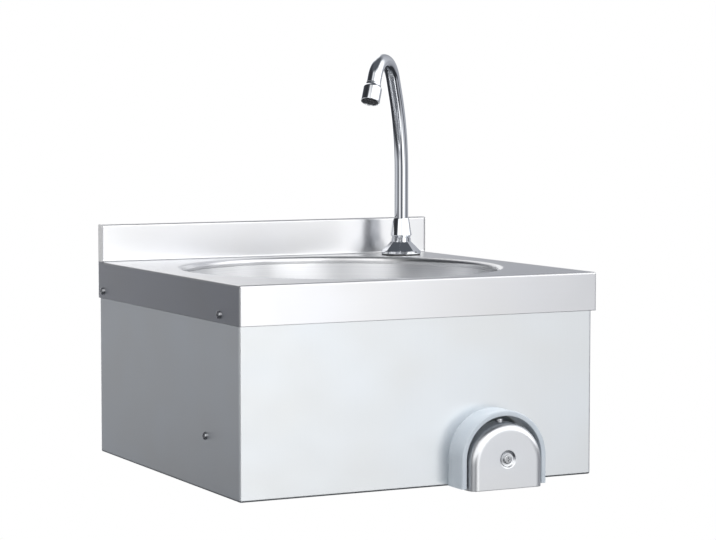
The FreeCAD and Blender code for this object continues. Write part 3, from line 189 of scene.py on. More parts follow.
def linear(colour):
    """Turn an sRGB hex colour into the linear RGBA that shaders use."""
    levels = [int(colour[i:i + 2], 16) / 255 for i in (1, 3, 5)]
    return [*(c / 12.92 if c <= 0.04045 else ((c + 0.055) / 1.055) ** 2.4 for c in levels), 1]


def add(tree, kind, inputs=None, **settings):
    """Add a shader node, set its properties, and set each input or link it to another node's output."""
    made = tree.nodes.new("ShaderNode" + kind)
    for name, value in settings.items():
        setattr(made, name, value)
    for socket, value in (inputs or {}).items():
        if isinstance(value, bpy.types.NodeSocket):
            tree.links.new(value, made.inputs[socket])
        else:
            made.inputs[socket].default_value = value
    return made


def new_material(name, **shader_inputs):
    """A material with a Principled shader, whose constant inputs are set on its own sockets."""
    made = bpy.data.materials.new(name)
    made.use_nodes = True
    shader = made.node_tree.nodes["Principled BSDF"]
    for socket, value in shader_inputs.items():
        shader.inputs[socket.replace("_", " ")].default_value = value
    return made, made.node_tree, shader


def mottle(tree, spacing, detail=2.0):
    """A pattern on the piece's own coordinates, its features spacing millimetres long on X, Y and Z."""
    place = add(tree, "TexCoord").outputs["Object"]
    scaled = add(tree, "Mapping", {
        "Vector": place, "Scale": [1 / (length * MM) for length in spacing]}).outputs[0]
    return add(tree, "TexNoise", {"Vector": scaled, "Scale": 1.0, "Detail": detail}).outputs["Fac"]


def tint(tree, shader, colour, *layers):
    """Colour the skin, with hex colours laid over it by patterns up to a share, and give the result."""
    for pattern, share, over in layers:
        cover = add(tree, "MapRange", {"Value": pattern, **NOISE_RANGE, "To Max": share}).outputs[0]
        colour = add(tree, "Mix", {0: cover, 6: colour, 7: linear(over)}, data_type="RGBA").outputs[2]
    tree.links.new(colour, shader.inputs["Base Color"])
    return colour


def gloss(tree, shader, *layers):
    """Make the skin as rough as its layers add up to: each goes from low to high with its pattern."""
    rough = 0.0
    for pattern, low, high in layers:
        layer = add(tree, "MapRange", {
            "Value": pattern, **NOISE_RANGE, "To Min": low, "To Max": high}).outputs[0]
        rough = add(tree, "Math", {0: rough, 1: layer}, operation="ADD").outputs[0]
    tree.links.new(rough, shader.inputs["Roughness"])


def relief(tree, shader, *layers, under=None):
    """Raise the skin by its layers: each has its pattern and its depth in millimetres."""
    normal = {} if under is None else {"Normal": under}
    for pattern, depth in layers:
        bump = add(tree, "Bump", {"Height": pattern, "Distance": depth * MM, "Strength": 1.0, **normal})
        normal = {"Normal": bump.outputs[0]}
    tree.links.new(normal["Normal"], shader.inputs["Normal"])


# ---------------------------------------------------------------- materials

def drawn_square_to(tree, shader, grain, spare):
    """Draw the gleam out square to the grain; spare is the grain where a face looks along it."""
    normal = add(tree, "NewGeometry").outputs["Normal"]
    across = [add(tree, "VectorMath", {0: normal, 1: way}, operation="CROSS_PRODUCT").outputs[0]
              for way in (grain, 0.02 * spare)]
    both = add(tree, "VectorMath", {0: across[0], 1: across[1]}, operation="ADD").outputs[0]
    tree.links.new(both, shader.inputs["Tangent"])


def brushed_steel(name, colour, roughness, grain, grain_on_sides, way, spare_way, wave=0.02, depth=0.0003):
    """Stainless sheet brushed with a belt: a soft gleam drawn out square to fine parallel scratches.

    The real scratches are about 0.05 mm wide, too fine to show, so they are drawn about 1 mm wide.
    The grain is the pattern's spacing on X, Y and Z, and has its own for faces that look along X.
    It runs one way, and the spare way on faces that look along that.
    The sheet's cut and folded edges look a little rounded, as a file leaves them.
    """
    made, tree, shader = new_material(name, Metallic=1.0, Anisotropic=0.75)
    normal = add(tree, "TexCoord").outputs["Normal"]
    facing = add(tree, "VectorMath", {0: normal}, operation="ABSOLUTE").outputs[0]
    facing_x = add(tree, "SeparateXYZ", {0: facing}).outputs["X"]
    on_side = add(tree, "Math", {0: facing_x, 1: 0.7}, operation="GREATER_THAN").outputs[0]
    scratch = add(tree, "Mix", {
        0: on_side, 2: mottle(tree, grain), 3: mottle(tree, grain_on_sides)}).outputs[0]
    handled = mottle(tree, (34, 34, 28), detail=1.0)
    gloss(tree, shader, (scratch, roughness - 0.005, roughness + 0.005), (handled, -0.008, 0.008))
    dim = [SCRATCH_SHADE * level for level in linear(colour)[:3]] + [1]
    patch = mottle(tree, (90, 90, 70), detail=1.0)
    tint(tree, shader, dim, (scratch, 1.0, colour), (patch, 0.35, "#d9d8d4"))
    eased = add(tree, "Bevel", {"Radius": 1.1 * MM}, samples=6).outputs[0]
    relief(tree, shader, (mottle(tree, (150, 130, 110), detail=0.0), wave), (scratch, depth), under=eased)
    drawn_square_to(tree, shader, way, spare_way)
    return made


def deck_steel():
    # Satin stainless steel sheet, belt-brushed along the deck and round the aprons: its gleam is
    # blurred up and down, so upright things stay sharp in it.
    return brushed_steel("satin_stainless_along", "#e0e1e4", 0.29, (70, 1.1, 1.1), (1.1, 70, 1.1), X, Y)


def casing_steel():
    # Satin stainless steel sheet, brushed from top to bottom: its gleam is blurred sideways, so
    # the casing looks a shade lighter and flatter than the aprons over it.
    return brushed_steel("satin_stainless_upright", "#dfe3e6", 0.30, (1.2, 1.2, 90), (1.2, 1.2, 90), Z, X)


def pad_steel():
    # Pressed stainless steel with the press shop's upright brushing left on, a little coarser.
    return brushed_steel("pressed_stainless_upright", "#d8dadd", 0.30, (1, 1, 30), (1, 1, 30), Z, X,
                         wave=0.004, depth=0.003)


def ground_weld():
    # The splash's welded ends, ground flush and much duller than the sheet, in a pale colour that is painted
    # light: the near-white stands in for the bright studio light spilling round the ends.
    made, tree, shader = new_material("ground_weld", Metallic=0.4, Anisotropic=0.6)
    ground = mottle(tree, (1.5, 9, 1.5), detail=3.0)
    gloss(tree, shader, (ground, 0.5, 0.6))
    # painted light: the pale near-white colour stands in for light spilling round the splash ends
    tint(tree, shader, linear("#f0f0f1"), (ground, 1.0, "#f8f8f8"))
    relief(tree, shader, (ground, 0.002))
    drawn_square_to(tree, shader, Z, X)
    return made


def bowl_steel():
    # Spun stainless steel, satin polished while it turned: faint rings round the drain, and a
    # gleam that runs up the wall in soft bands.
    made, tree, shader = new_material("spun_stainless", Metallic=1.0, Anisotropic=0.55)
    place = add(tree, "TexCoord").outputs["Object"]
    from_axis = add(tree, "VectorMath", {0: place, 1: (0, BOWL_Y * MM, 0)}, operation="SUBTRACT").outputs[0]
    flat = add(tree, "VectorMath", {0: from_axis, 1: (1, 1, 0)}, operation="MULTIPLY").outputs[0]
    radius = add(tree, "VectorMath", {0: flat}, operation="LENGTH").outputs["Value"]
    height = add(tree, "SeparateXYZ", {0: place}).outputs["Z"]
    ring_place = add(tree, "CombineXYZ", {0: radius, 1: height}).outputs[0]
    rings = add(tree, "TexNoise", {
        "Vector": ring_place, "Scale": 1 / (1.3 * MM), "Detail": 2.0}).outputs["Fac"]
    gloss(tree, shader, (rings, 0.28, 0.3), (mottle(tree, (45, 45, 30), detail=3.0), -0.002, 0.012))
    tint(tree, shader, linear("#dedfe2"), (rings, 1.0, "#e8e9ea"))
    relief(tree, shader, (mottle(tree, (120, 120, 90), detail=0.0), 0.03), (rings, 0.0015))
    normal = add(tree, "NewGeometry").outputs["Normal"]
    round_drain = add(tree, "VectorMath", {0: Z, 1: flat}, operation="CROSS_PRODUCT").outputs[0]
    up_wall = add(tree, "VectorMath", {0: normal, 1: round_drain}, operation="CROSS_PRODUCT").outputs[0]
    tree.links.new(up_wall, shader.inputs["Tangent"])
    return made


def chrome():
    # Chrome plate on polished brass: a near mirror, a touch blue, with faint wiping marks.
    made, tree, shader = new_material("polished_chrome", Metallic=1.0)
    wiped = mottle(tree, (9, 9, 26), detail=4.0)
    gloss(tree, shader, (wiped, 0.035, 0.075))
    tint(tree, shader, linear("#e9ebee"), (wiped, 1.0, "#e2e5e9"))
    relief(tree, shader, (mottle(tree, (14, 14, 14), detail=1.0), 0.004))
    return made


def nickel():
    # Nickel plate on machined brass: a mirror with a warm, slightly yellow cast.
    made, tree, shader = new_material("nickel_plate", Metallic=1.0)
    gloss(tree, shader, (mottle(tree, (4, 4, 4), detail=3.0), 0.16, 0.26))
    toned = add(tree, "Mix", {
        0: mottle(tree, (11, 11, 11)), 6: linear("#c9c3b4"), 7: linear("#b8b1a1")}, data_type="RGBA")
    tree.links.new(toned.outputs[2], shader.inputs["Base Color"])
    relief(tree, shader, (mottle(tree, (0.8, 0.8, 0.8)), 0.004))
    return made


def brass():
    # Machined brass: warm yellow, with lathe marks and a brown bloom where it has been handled.
    made, tree, shader = new_material("machined_brass", Metallic=1.0)
    bloom = mottle(tree, (10, 10, 10), detail=4.0)
    tint(tree, shader, linear("#c9a866"), (bloom, 1.0, "#a17f43"))
    gloss(tree, shader, (bloom, 0.24, 0.38))
    relief(tree, shader, (mottle(tree, (0.7, 0.7, 0.7)), 0.006))
    return made


def copper():
    # Drawn and bent copper tube: salmon pink, dulled in brown patches by water and flux.
    made, tree, shader = new_material("drawn_copper", Metallic=1.0)
    dulled = mottle(tree, (22, 22, 22), detail=5.0)
    tint(tree, shader, linear("#cd8f73"), (dulled, 1.0, "#8f5b45"))
    gloss(tree, shader, (dulled, 0.22, 0.42))
    relief(tree, shader, (mottle(tree, (1.5, 1.5, 1.5)), 0.01))
    return made


def zinc():
    # Bright zinc plate on folded steel: pale and bluish, clouded, with a fine crystal grain.
    made, tree, shader = new_material("bright_zinc_plate", Metallic=1.0)
    cloud = mottle(tree, (30, 30, 30), detail=3.0)
    clouded = tint(tree, shader, linear("#b9bfc4"), (cloud, 1.0, "#a7abad"))
    place = add(tree, "TexCoord").outputs["Object"]
    crystal = add(tree, "TexVoronoi", {"Vector": place, "Scale": 1 / (4 * MM)}).outputs["Color"]
    grainy = add(tree, "Mix", {0: 0.06, 6: clouded, 7: crystal}, data_type="RGBA").outputs[2]
    tree.links.new(grainy, shader.inputs["Base Color"])
    gloss(tree, shader, (cloud, 0.28, 0.42))
    relief(tree, shader, (mottle(tree, (2, 2, 2)), 0.01))
    return made


def screw_steel():
    # Cold-formed stainless screws and bolts: grey, softly shining, with forming marks.
    made, tree, shader = new_material("cold_formed_stainless", Metallic=1.0)
    formed = mottle(tree, (1.2, 1.2, 1.2), detail=3.0)
    tint(tree, shader, linear("#c3c4c6"), (formed, 1.0, "#a3a5a8"))
    gloss(tree, shader, (formed, 0.2, 0.34))
    relief(tree, shader, (formed, 0.01))
    return made


def spring_wire():
    # Drawn stainless spring wire: dark grey and shiny, with marks along the wire.
    made, tree, shader = new_material("drawn_spring_wire", Metallic=1.0)
    drawn = mottle(tree, (0.5, 0.4, 0.5))
    toned = add(tree, "Mix", {
        0: drawn, 6: linear("#9fa1a3"), 7: linear("#7d7f82")}, data_type="RGBA")
    tree.links.new(toned.outputs[2], shader.inputs["Base Color"])
    gloss(tree, shader, (drawn, 0.2, 0.32))
    relief(tree, shader, (drawn, 0.005))
    return made


def moulded(name, light, dark, roughness, pore, depth, **shader_inputs):
    """A moulded plastic or rubber: an even colour with slight clouds and the mould's fine texture."""
    made, tree, shader = new_material(name, **shader_inputs)
    cloud = mottle(tree, (18, 18, 18), detail=3.0)
    skin = mottle(tree, (pore, pore, pore))
    tint(tree, shader, linear(light), (cloud, 1.0, dark))
    gloss(tree, shader, (skin, roughness - 0.05, roughness + 0.06))
    relief(tree, shader, (skin, depth))
    return made


def collar_plastic():
    # Moulded ABS in a pale blue-grey, spark-eroded to a fine satin that hides finger marks.
    return moulded("satin_abs_blue_grey", "#c0c8d0", "#b8c1ca", 0.38, 0.7, 0.012, IOR=1.53)


def carrier_plastic():
    # Glass-filled nylon, black, with the greyish bloom that its fibres leave at the surface.
    return moulded("glass_filled_nylon", "#2a2a2c", "#38383a", 0.5, 0.6, 0.02, IOR=1.53)


def white_plastic():
    # Moulded white polypropylene: waxy and slightly see-through at its edges.
    return moulded("white_polypropylene", "#edece8", "#e4e3df", 0.36, 1.2, 0.01, IOR=1.49,
                   Subsurface_Weight=0.12, Subsurface_Radius=(0.004, 0.004, 0.003))


def acetal():
    # Natural acetal: creamy white, slippery and a little glossy.
    return moulded("natural_acetal", "#ecebe3", "#e2e1d8", 0.3, 1.0, 0.006, IOR=1.48, Subsurface_Weight=0.08,
                   Subsurface_Radius=(0.003, 0.003, 0.002))


def rubber():
    # Moulded nitrile rubber: black, dull, with dust in its pores.
    return moulded("nitrile_rubber", "#1c1c1d", "#29292a", 0.62, 0.5, 0.02, IOR=1.52)


def screen_plastic():
    # Dark grey moulded jet screen, wet looking, set back in the nozzle's mouth.
    return moulded("jet_screen_plastic", "#2b2d31", "#383a40", 0.34, 0.6, 0.01, IOR=1.5)


MATERIALS = {
    "sheet": deck_steel, "weld": ground_weld, "casing": casing_steel, "bowl": bowl_steel, "pad": pad_steel,
    "zinc": zinc, "screw": screw_steel, "collar": collar_plastic, "carrier": carrier_plastic,
    "chrome": chrome, "brass": brass, "nickel": nickel, "spring": spring_wire, "rubber": rubber,
    "white": white_plastic, "acetal": acetal, "screen": screen_plastic, "copper": copper,
}


def material(key):
    """The material for a finish, made the first time that it is asked for."""
    for made in bpy.data.materials:
        if made.get("finish") == key:
            return made
    made = MATERIALS[key]()
    made["finish"] = key
    return made


def dress(key, *nodes):
    """Give CAD nodes whose shape is right a finish."""
    for node in nodes:
        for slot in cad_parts[node].material_slots:
            slot.material = material(key)


# ---------------------------------------------------------------- mesh helpers

def picked(items, kind):
    """The vertices, edges or faces among an operator's results."""
    return [item for item in items if isinstance(item, kind)]


def chain(bm, points, closed=False):
    """Vertices at points, joined in a row by edges."""
    verts = [bm.verts.new(point) for point in points]
    pairs = list(zip(verts, verts[1:]))
    if closed:
        pairs.append((verts[-1], verts[0]))
    return verts + [bm.edges.new(pair) for pair in pairs]


def tidy(bm):
    """Close seams and poles, and point faces outwards."""
    bmesh.ops.remove_doubles(bm, verts=bm.verts, dist=1e-4)
    bmesh.ops.recalc_face_normals(bm, faces=bm.faces)


def soften(bm, width, segments=2, least=28):
    """Round every edge that is sharper than an angle."""
    sharp = [edge for edge in bm.edges if edge.calc_face_angle(0) > math.radians(least)]
    bmesh.ops.bevel(bm, geom=sharp, offset=width, offset_type="OFFSET", affect="EDGES", segments=segments,
                    profile=0.5, material=-1, clamp_overlap=True)


def turned(profile, closed=True, segments=ROUND):
    """A solid made by spinning a half section of (radius, height) points about Z."""
    bm = bmesh.new()
    section = chain(bm, [(radius, 0, height) for radius, height in profile], closed)
    bmesh.ops.spin(bm, geom=section, cent=(0, 0, 0), axis=Z, dvec=(0, 0, 0), angle=math.tau,
                   steps=segments, use_merge=True)
    tidy(bm)
    return bm


def extruded(bm, edges, by):
    """Extrude edges by a vector and give the new ones."""
    made = bmesh.ops.extrude_edge_only(bm, edges=edges)["geom"]
    bmesh.ops.translate(bm, verts=picked(made, BMVert), vec=by)
    return [edge for edge in picked(made, BMEdge) if all(v in made for v in edge.verts)]


def thickened(bm, faces, by):
    """Extrude faces by a vector."""
    made = bmesh.ops.extrude_face_region(bm, geom=faces)["geom"]
    bmesh.ops.translate(bm, verts=picked(made, BMVert), vec=by)


def bent(bm, edges, centre, axis, angle, steps):
    """Sweep edges round a centre and give the last ones."""
    verts = list({vert for edge in edges for vert in edge.verts})
    made = bmesh.ops.spin(bm, geom=verts + edges, cent=centre, axis=axis, dvec=(0, 0, 0),
                          angle=math.radians(angle), steps=steps)["geom_last"]
    return picked(made, BMEdge)


def wound(bm, profile, turns, pitch, steps=28):
    """Wind a closed section of (radius, height) points up Z as a screw thread or spring."""
    section = chain(bm, [(radius, 0, height) for radius, height in profile], closed=True)
    face = bm.faces.new(picked(section, BMVert))
    bmesh.ops.spin(bm, geom=section + [face], cent=(0, 0, 0), axis=Z, dvec=(0, 0, pitch / steps),
                   angle=turns * math.tau, steps=round(turns * steps))


def screw_thread(root, crest, low, turns, pitch, down=False, flank=0.35, steps=28):
    """A screw thread's ridge between two radii, wound from a height; its flank is a share of the pitch."""
    bm = bmesh.new()
    ridge = [(root, low), (crest, low + pitch * flank), (root, low + pitch * 2 * flank)]
    wound(bm, ridge, turns, -pitch if down else pitch, steps)
    tidy(bm)
    return bm


def nut(flat, bore, low, high, edge):
    """A chamfered hexagon nut or bolt head of a width across its flats, with its bore."""
    bm = bmesh.new()
    outer = bmesh.ops.create_circle(bm, segments=6, radius=flat / math.sqrt(3))["verts"]
    edges = list({side for vert in outer for side in vert.link_edges})
    bmesh.ops.subdivide_edges(bm, edges=edges, cuts=3)
    bmesh.ops.create_circle(bm, segments=24, radius=bore)
    ring = bmesh.ops.bridge_loops(bm, edges=bm.edges)["faces"]
    bmesh.ops.translate(bm, verts=bm.verts, vec=(0, 0, low))
    thickened(bm, ring, (0, 0, high - low))
    tidy(bm)
    soften(bm, edge, segments=1)
    return bm


def along(origin, direction, heading=0):
    """A place whose local Z points in a direction, turned about it by a heading."""
    turn = Z.rotation_difference(Vector(direction)).to_matrix().to_4x4()
    return Matrix.Translation(origin) @ turn @ Matrix.Rotation(math.radians(heading), 4, "Z")


def new_object(name, data):
    """Put a mesh, a lamp or a camera into the scene."""
    made = bpy.data.objects.new(name, data)
    bpy.context.scene.collection.objects.link(made)
    return made


def piece(name, solids, finish, body="sink", replaced=()):
    """Turn solids in millimetres, each with its place, into one finished piece that rides on a body."""
    whole = bmesh.new()
    mesh = bpy.data.meshes.new(name)
    for bm, place in solids:
        bmesh.ops.transform(bm, matrix=place, verts=bm.verts)
        bm.to_mesh(mesh)
        bm.free()
        whole.from_mesh(mesh)
    bmesh.ops.scale(whole, vec=(MM, MM, MM), verts=whole.verts)
    whole.to_mesh(mesh)
    whole.free()
    mesh.shade_smooth()
    mesh.set_sharp_from_angle(angle=math.radians(CREASE))
    mesh.materials.append(material(finish))
    made = new_object(name, mesh)
    weighted = made.modifiers.new("even_normals", "WEIGHTED_NORMAL")
    weighted.keep_sharp = True
    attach(made, body)
    if replaced:
        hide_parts(*replaced)
    return made


VALVE_PLACE = along((VALVE_X, CASING_FRONT, VALVE_Z), -Y)
TAP_PLACE = along((TAP_X, TAP_Y, DECK_Z), Z)
SPOUT_PLACE = along((TAP_X, TAP_Y, DECK_Z), Z, SPOUT_HEADING)
DRAIN_PLACE = along((0, BOWL_Y, WASTE_Z), Z)


# ---------------------------------------------------------------- settings

class SinkSizes(bpy.types.PropertyGroup):
    """Small sizes that a maker would change."""
    facet_edge: FloatProperty(name="Facet edge", description="Rounding of the tap foot's facet edges, in mm",
                              default=0.45, min=0.1, max=1.0)
    thread_pitch: FloatProperty(name="Thread pitch", description="Pitch of the half-inch pipe threads, in mm",
                                default=1.8, min=1.0, max=3.0)
    thread_depth: FloatProperty(name="Thread depth", description="Height of a thread's ridge, in mm",
                                default=0.5, min=0.2, max=1.2)
    nut_edge: FloatProperty(name="Nut edge", description="Chamfer on the nuts and bolt heads, in mm",
                            default=0.6, min=0.1, max=1.2)
    spring_coils: IntProperty(name="Spring coils", description="Working coils of the return spring",
                              default=5, min=3, max=9)
    screen_rings: IntProperty(name="Screen rings", description="Rings of cells in the nozzle's screen",
                              default=6, min=3, max=9)


class SinkStudio(bpy.types.PropertyGroup):
    """The stage round the sink."""
    floor_drop: FloatProperty(name="Floor", description="Height of the deck over the floor",
                              default=0.88, min=0.5, max=1.2, unit="LENGTH")
    floor_colour: FloatVectorProperty(name="Floor colour", description="Colour of the plain floor",
                                      default=linear("#f4f4f3"), size=4, subtype="COLOR", min=0, max=1)
    key_power: FloatProperty(name="Key light", description="Power of the large lamp overhead",
                             default=36.0, min=0, max=200, unit="POWER")
    room_light: FloatProperty(name="Room light", description="Level of the even light from all round",
                              default=0.52, min=0, max=2)


# ---------------------------------------------------------------- operators

class SINK_OT_sheet_metal(bpy.types.Operator):
    """Finish the deck, the bowl, the casing, the wall rail and the bars inside"""
    bl_idname = "sink.sheet_metal"
    bl_label = "Sheet metal"

    def execute(self, context):
        dress("sheet", "sink_top")
        dress("casing", "casing")
        dress("bowl", "bowl", "drain_strainer")
        dress("zinc", "wall_rail", "valve_bar", "valve_bracket", "collar_retainer")
        dress("screw", "front_apron_screws", "rear_apron_screws", "bar_screws", "collar_screws")
        ends = []
        for side in (-1, 1):
            end = bmesh.new()
            bmesh.ops.create_grid(end, x_segments=3, y_segments=8, size=0.5)
            size = (SPLASH_DEPTH - WELD_INSET, SPLASH_RISE - WELD_INSET, 1)
            bmesh.ops.scale(end, vec=size, verts=end.verts)
            thickened(end, list(end.faces), (0, 0, WELD_HEIGHT))
            tidy(end)
            soften(end, 0.07)
            upright = Matrix.Rotation(side * math.pi / 2, 4, "Y") @ Matrix.Rotation(math.pi / 2, 4, "Z")
            middle = (side * (HALF_WIDTH - WELD_SUNK), -SPLASH_DEPTH / 2, DECK_Z + SPLASH_RISE / 2)
            ends.append((end, Matrix.Translation(middle) @ upright))
        piece("splash_end_welds", ends, "weld")
        return {"FINISHED"}


class SINK_OT_nuts(bpy.types.Operator):
    """Make the chamfered nuts and bolts inside the casing"""
    bl_idname = "sink.nuts"
    bl_label = "Nuts and bolts"

    def execute(self, context):
        edge = context.scene.sink_sizes.nut_edge
        side_nuts = {"front_apron_nuts": (FRONT_SCREW_Y, SCREW_Z, CASING_HALF - SHEET),
                     "bar_nuts": (BAR_Y + BAR_SCREW_SETBACK, BAR_Z, CASING_HALF - SHEET - BAR_SHEET)}
        for node, (y, z, reach) in side_nuts.items():
            pair = [(nut(*SIDE_NUT, edge / 2), along((side * reach, y, z), side * X)) for side in (-1, 1)]
            piece(f"{node}_chamfered", pair, "screw", replaced=[node])

        bolts = []
        nuts = []
        for x in (VALVE_X - BOLT_OFFSET, VALVE_X + BOLT_OFFSET):
            head = along((x, BAR_Y - BRACKET_SHEET, BAR_Z), -Y)
            shank = turned([(0, -14), (2.1, -14), (2.5, -13.4), (2.5, 2.6), (1.6, 2.9), (0, 2.9)],
                           closed=False, segments=24)
            bolts += [(nut(*BOLT_HEAD, edge / 2), head), (shank, head)]
            nuts.append((nut(*BOLT_NUT, edge / 2), along((x, BAR_Y + BAR_SHEET, BAR_Z), Y)))
        piece("bracket_bolts_chamfered", bolts, "screw", replaced=["bracket_bolts"])
        piece("bracket_nuts_chamfered", nuts, "screw", replaced=["bracket_nuts"])

        locknut = [(nut(*LOCKNUT, edge), along((VALVE_X, BAR_Y, VALVE_Z), Y))]
        piece("valve_locknut_chamfered", locknut, "brass", replaced=["valve_locknut"])
        piece("tap_nut_chamfered", [(nut(*TAP_NUT, edge), TAP_PLACE)], "brass", replaced=["tap_nut"])
        return {"FINISHED"}


class SINK_OT_collar(bpy.types.Operator):
    """Make the moulded arch round the knee pad"""
    bl_idname = "sink.collar"
    bl_label = "Collar"

    def execute(self, context):
        outer = COLLAR_EDGE
        inner = COLLAR_EDGE / 2
        turns = [math.radians(angle) for angle in (0, 30, 60, 90)]
        section = [(COLLAR_INNER, -SHEET), (SPIGOT_RADIUS, -SHEET), (SPIGOT_RADIUS, 0), (COLLAR_OUTER, 0)]
        section += [(COLLAR_OUTER - outer * (1 - math.cos(t)), COLLAR_PROUD - outer * (1 - math.sin(t)))
                    for t in turns]
        section += [(COLLAR_INNER + inner * (1 - math.sin(t)), COLLAR_PROUD - inner * (1 - math.cos(t)))
                    for t in turns]
        bm = bmesh.new()
        geometry = chain(bm, [(radius, 0, height) for radius, height in section], closed=True)
        first = bm.faces.new(picked(geometry, BMVert))
        ends = bmesh.ops.spin(bm, geom=[*geometry, first], cent=(0, 0, 0), axis=Z, dvec=(0, 0, 0),
                              angle=math.pi, steps=56)["geom_last"]
        leg = COLLAR_Z - CASING_LOW
        thickened(bm, [first, *picked(ends, BMFace)], (0, -leg, 0))
        tidy(bm)
        slope = Vector((0, -COLLAR_PROUD, -COLLAR_RISE)).normalized()
        cut = bmesh.ops.bisect_plane(bm, geom=[*bm.verts, *bm.edges, *bm.faces], plane_co=(0, -leg, 0),
                                     plane_no=slope, clear_outer=True)["geom_cut"]
        bmesh.ops.holes_fill(bm, edges=picked(cut, BMEdge), sides=0)
        bmesh.ops.recalc_face_normals(bm, faces=bm.faces)
        piece("collar_arch", [(bm, along((VALVE_X, CASING_FRONT, COLLAR_Z), -Y))], "collar",
              replaced=["knee_collar"])
        return {"FINISHED"}


class SINK_OT_tap_foot(bpy.types.Operator):
    """Make the tap's facetted foot, its gasket, its threaded shank and its clamp"""
    bl_idname = "sink.tap_foot"
    bl_label = "Tap foot"

    def execute(self, context):
        sizes = context.scene.sink_sizes
        band = turned([(0, GASKET_TOP), (BAND_RADIUS - 0.4, GASKET_TOP), (BAND_RADIUS, GASKET_TOP + 0.4),
                       (BAND_RADIUS, BAND_TOP - 0.8), (BAND_RADIUS - 0.8, BAND_TOP), (0, BAND_TOP)],
                      closed=False)
        facets = bmesh.new()
        facet_foot = BAND_TOP - FACET_SUNK
        bmesh.ops.create_cone(facets, cap_ends=True, cap_tris=False, segments=8, radius1=FACET_LOW,
                              radius2=FACET_HIGH, depth=FACET_TOP - facet_foot)
        soften(facets, sizes.facet_edge, segments=3)
        neck = turned([(0, FACET_TOP - 1), (NECK_RADIUS, FACET_TOP - 1), (NECK_RADIUS, NECK_TOP - 2.6),
                       (NECK_RADIUS - 0.7, NECK_TOP - 2.1), (NECK_RADIUS - 0.7, NECK_TOP - 1.5),
                       (NECK_RADIUS, NECK_TOP - 1), (NECK_RADIUS, NECK_TOP - 0.4),
                       (NECK_RADIUS - 0.4, NECK_TOP), (SOCKET_RADIUS, NECK_TOP),
                       (SOCKET_RADIUS, SOCKET_TOP), (0, SOCKET_TOP)], closed=False)
        lift = Matrix.Translation((0, 0, (FACET_TOP + facet_foot) / 2))
        heading = Matrix.Rotation(math.radians(FACET_HEADING), 4, "Z")
        foot = [(band, TAP_PLACE), (facets, TAP_PLACE @ heading @ lift), (neck, TAP_PLACE)]
        piece("tap_foot", foot, "chrome", replaced=["tap_base"])

        shank = turned([(SHANK_BORE, SHANK_LOW), (HALF_INCH - 0.6, SHANK_LOW), (HALF_INCH, SHANK_LOW + 0.6),
                        (HALF_INCH, GASKET_TOP + 0.2), (SHANK_BORE, GASKET_TOP + 0.2)])
        thread = screw_thread(THREAD_ROOT, HALF_INCH + sizes.thread_depth, SHANK_THREAD_TOP,
                              turns=11, pitch=sizes.thread_pitch, down=True)
        piece("tap_shank", [(shank, TAP_PLACE), (thread, TAP_PLACE)], "brass")

        gasket = turned([(HALF_INCH, 0), (GASKET_RADIUS, 0), (GASKET_RADIUS, GASKET_TOP),
                         (HALF_INCH, GASKET_TOP)])
        soften(gasket, 0.35)
        piece("deck_gasket", [(gasket, TAP_PLACE)], "rubber", replaced=["tap_gasket"])
        dress("rubber", "tap_seal_washer")
        dress("zinc", "tap_clamp_washer")
        return {"FINISHED"}


class SINK_OT_spout(bpy.types.Operator):
    """Make the swan neck and the sleeve that it turns in"""
    bl_idname = "sink.spout"
    bl_label = "Spout"

    def execute(self, context):
        sleeve = turned([(9.5, 22.1), (11.4, 22.1), (11.95, 22.7), (11.6, 25), (9.1, 41.2), (8.85, 41.8),
                         (8.5, 42), (8.1, 41.8), (8.1, 33.1), (9.3, 33.1), (9.3, 30.3), (9.5, 30.3)])
        piece("swivel_sleeve", [(sleeve, TAP_PLACE)], "chrome", replaced=["swivel_cap"])

        bm = bmesh.new()
        rim = bmesh.ops.create_circle(bm, cap_ends=True, segments=48, radius=TUBE_RADIUS)["verts"]
        bmesh.ops.translate(bm, verts=rim, vec=(0, 0, TUBE_START))
        edges = extruded(bm, list(bm.edges), (0, 0, RISE_TOP - TUBE_START))
        edges = bent(bm, edges, (LEAN_BEND, 0, RISE_TOP), Y, LEAN, 24)
        lean = math.radians(LEAN)
        run = Vector((math.sin(lean), 0, math.cos(lean))) * LEAN_RUN
        edges = extruded(bm, edges, run)
        leant = Vector((LEAN_BEND * (1 - math.cos(lean)), 0, RISE_TOP + LEAN_BEND * math.sin(lean)))
        crook_centre = leant + run + Vector((math.cos(lean), 0, -math.sin(lean))) * CROOK_BEND
        edges = bent(bm, edges, crook_centre, Y, CROOK - LEAN, 56)
        crook = math.radians(CROOK)
        down_nozzle = Vector((math.sin(crook), 0, math.cos(crook)))
        edges = extruded(bm, edges, down_nozzle * (CROOK_RUN - NOZZLE_OVERLAP))
        bmesh.ops.contextual_create(bm, geom=edges)
        tidy(bm)
        piece("swan_neck", [(bm, SPOUT_PLACE)], "chrome", body="spout", replaced=["spout_tube"])
        dress("acetal", "glide_washer")
        dress("brass", "spout_stub")
        dress("rubber", "spout_o_rings", "nozzle_seal")
        return {"FINISHED"}


def nozzle_place():
    """The middle of the nozzle's mouth, with local Z back up the tube."""
    lean = math.radians(LEAN)
    crook = math.radians(CROOK)
    reach = (LEAN_BEND * (1 - math.cos(lean)) + LEAN_RUN * math.sin(lean)
             + CROOK_BEND * (math.cos(lean) - math.cos(crook)) + CROOK_RUN * math.sin(crook))
    height = (RISE_TOP + LEAN_BEND * math.sin(lean) + LEAN_RUN * math.cos(lean)
              + CROOK_BEND * (math.sin(crook) - math.sin(lean)) + CROOK_RUN * math.cos(crook))
    return SPOUT_PLACE @ Matrix.Translation((reach, 0, height)) @ Matrix.Rotation(crook - math.pi, 4, "Y")


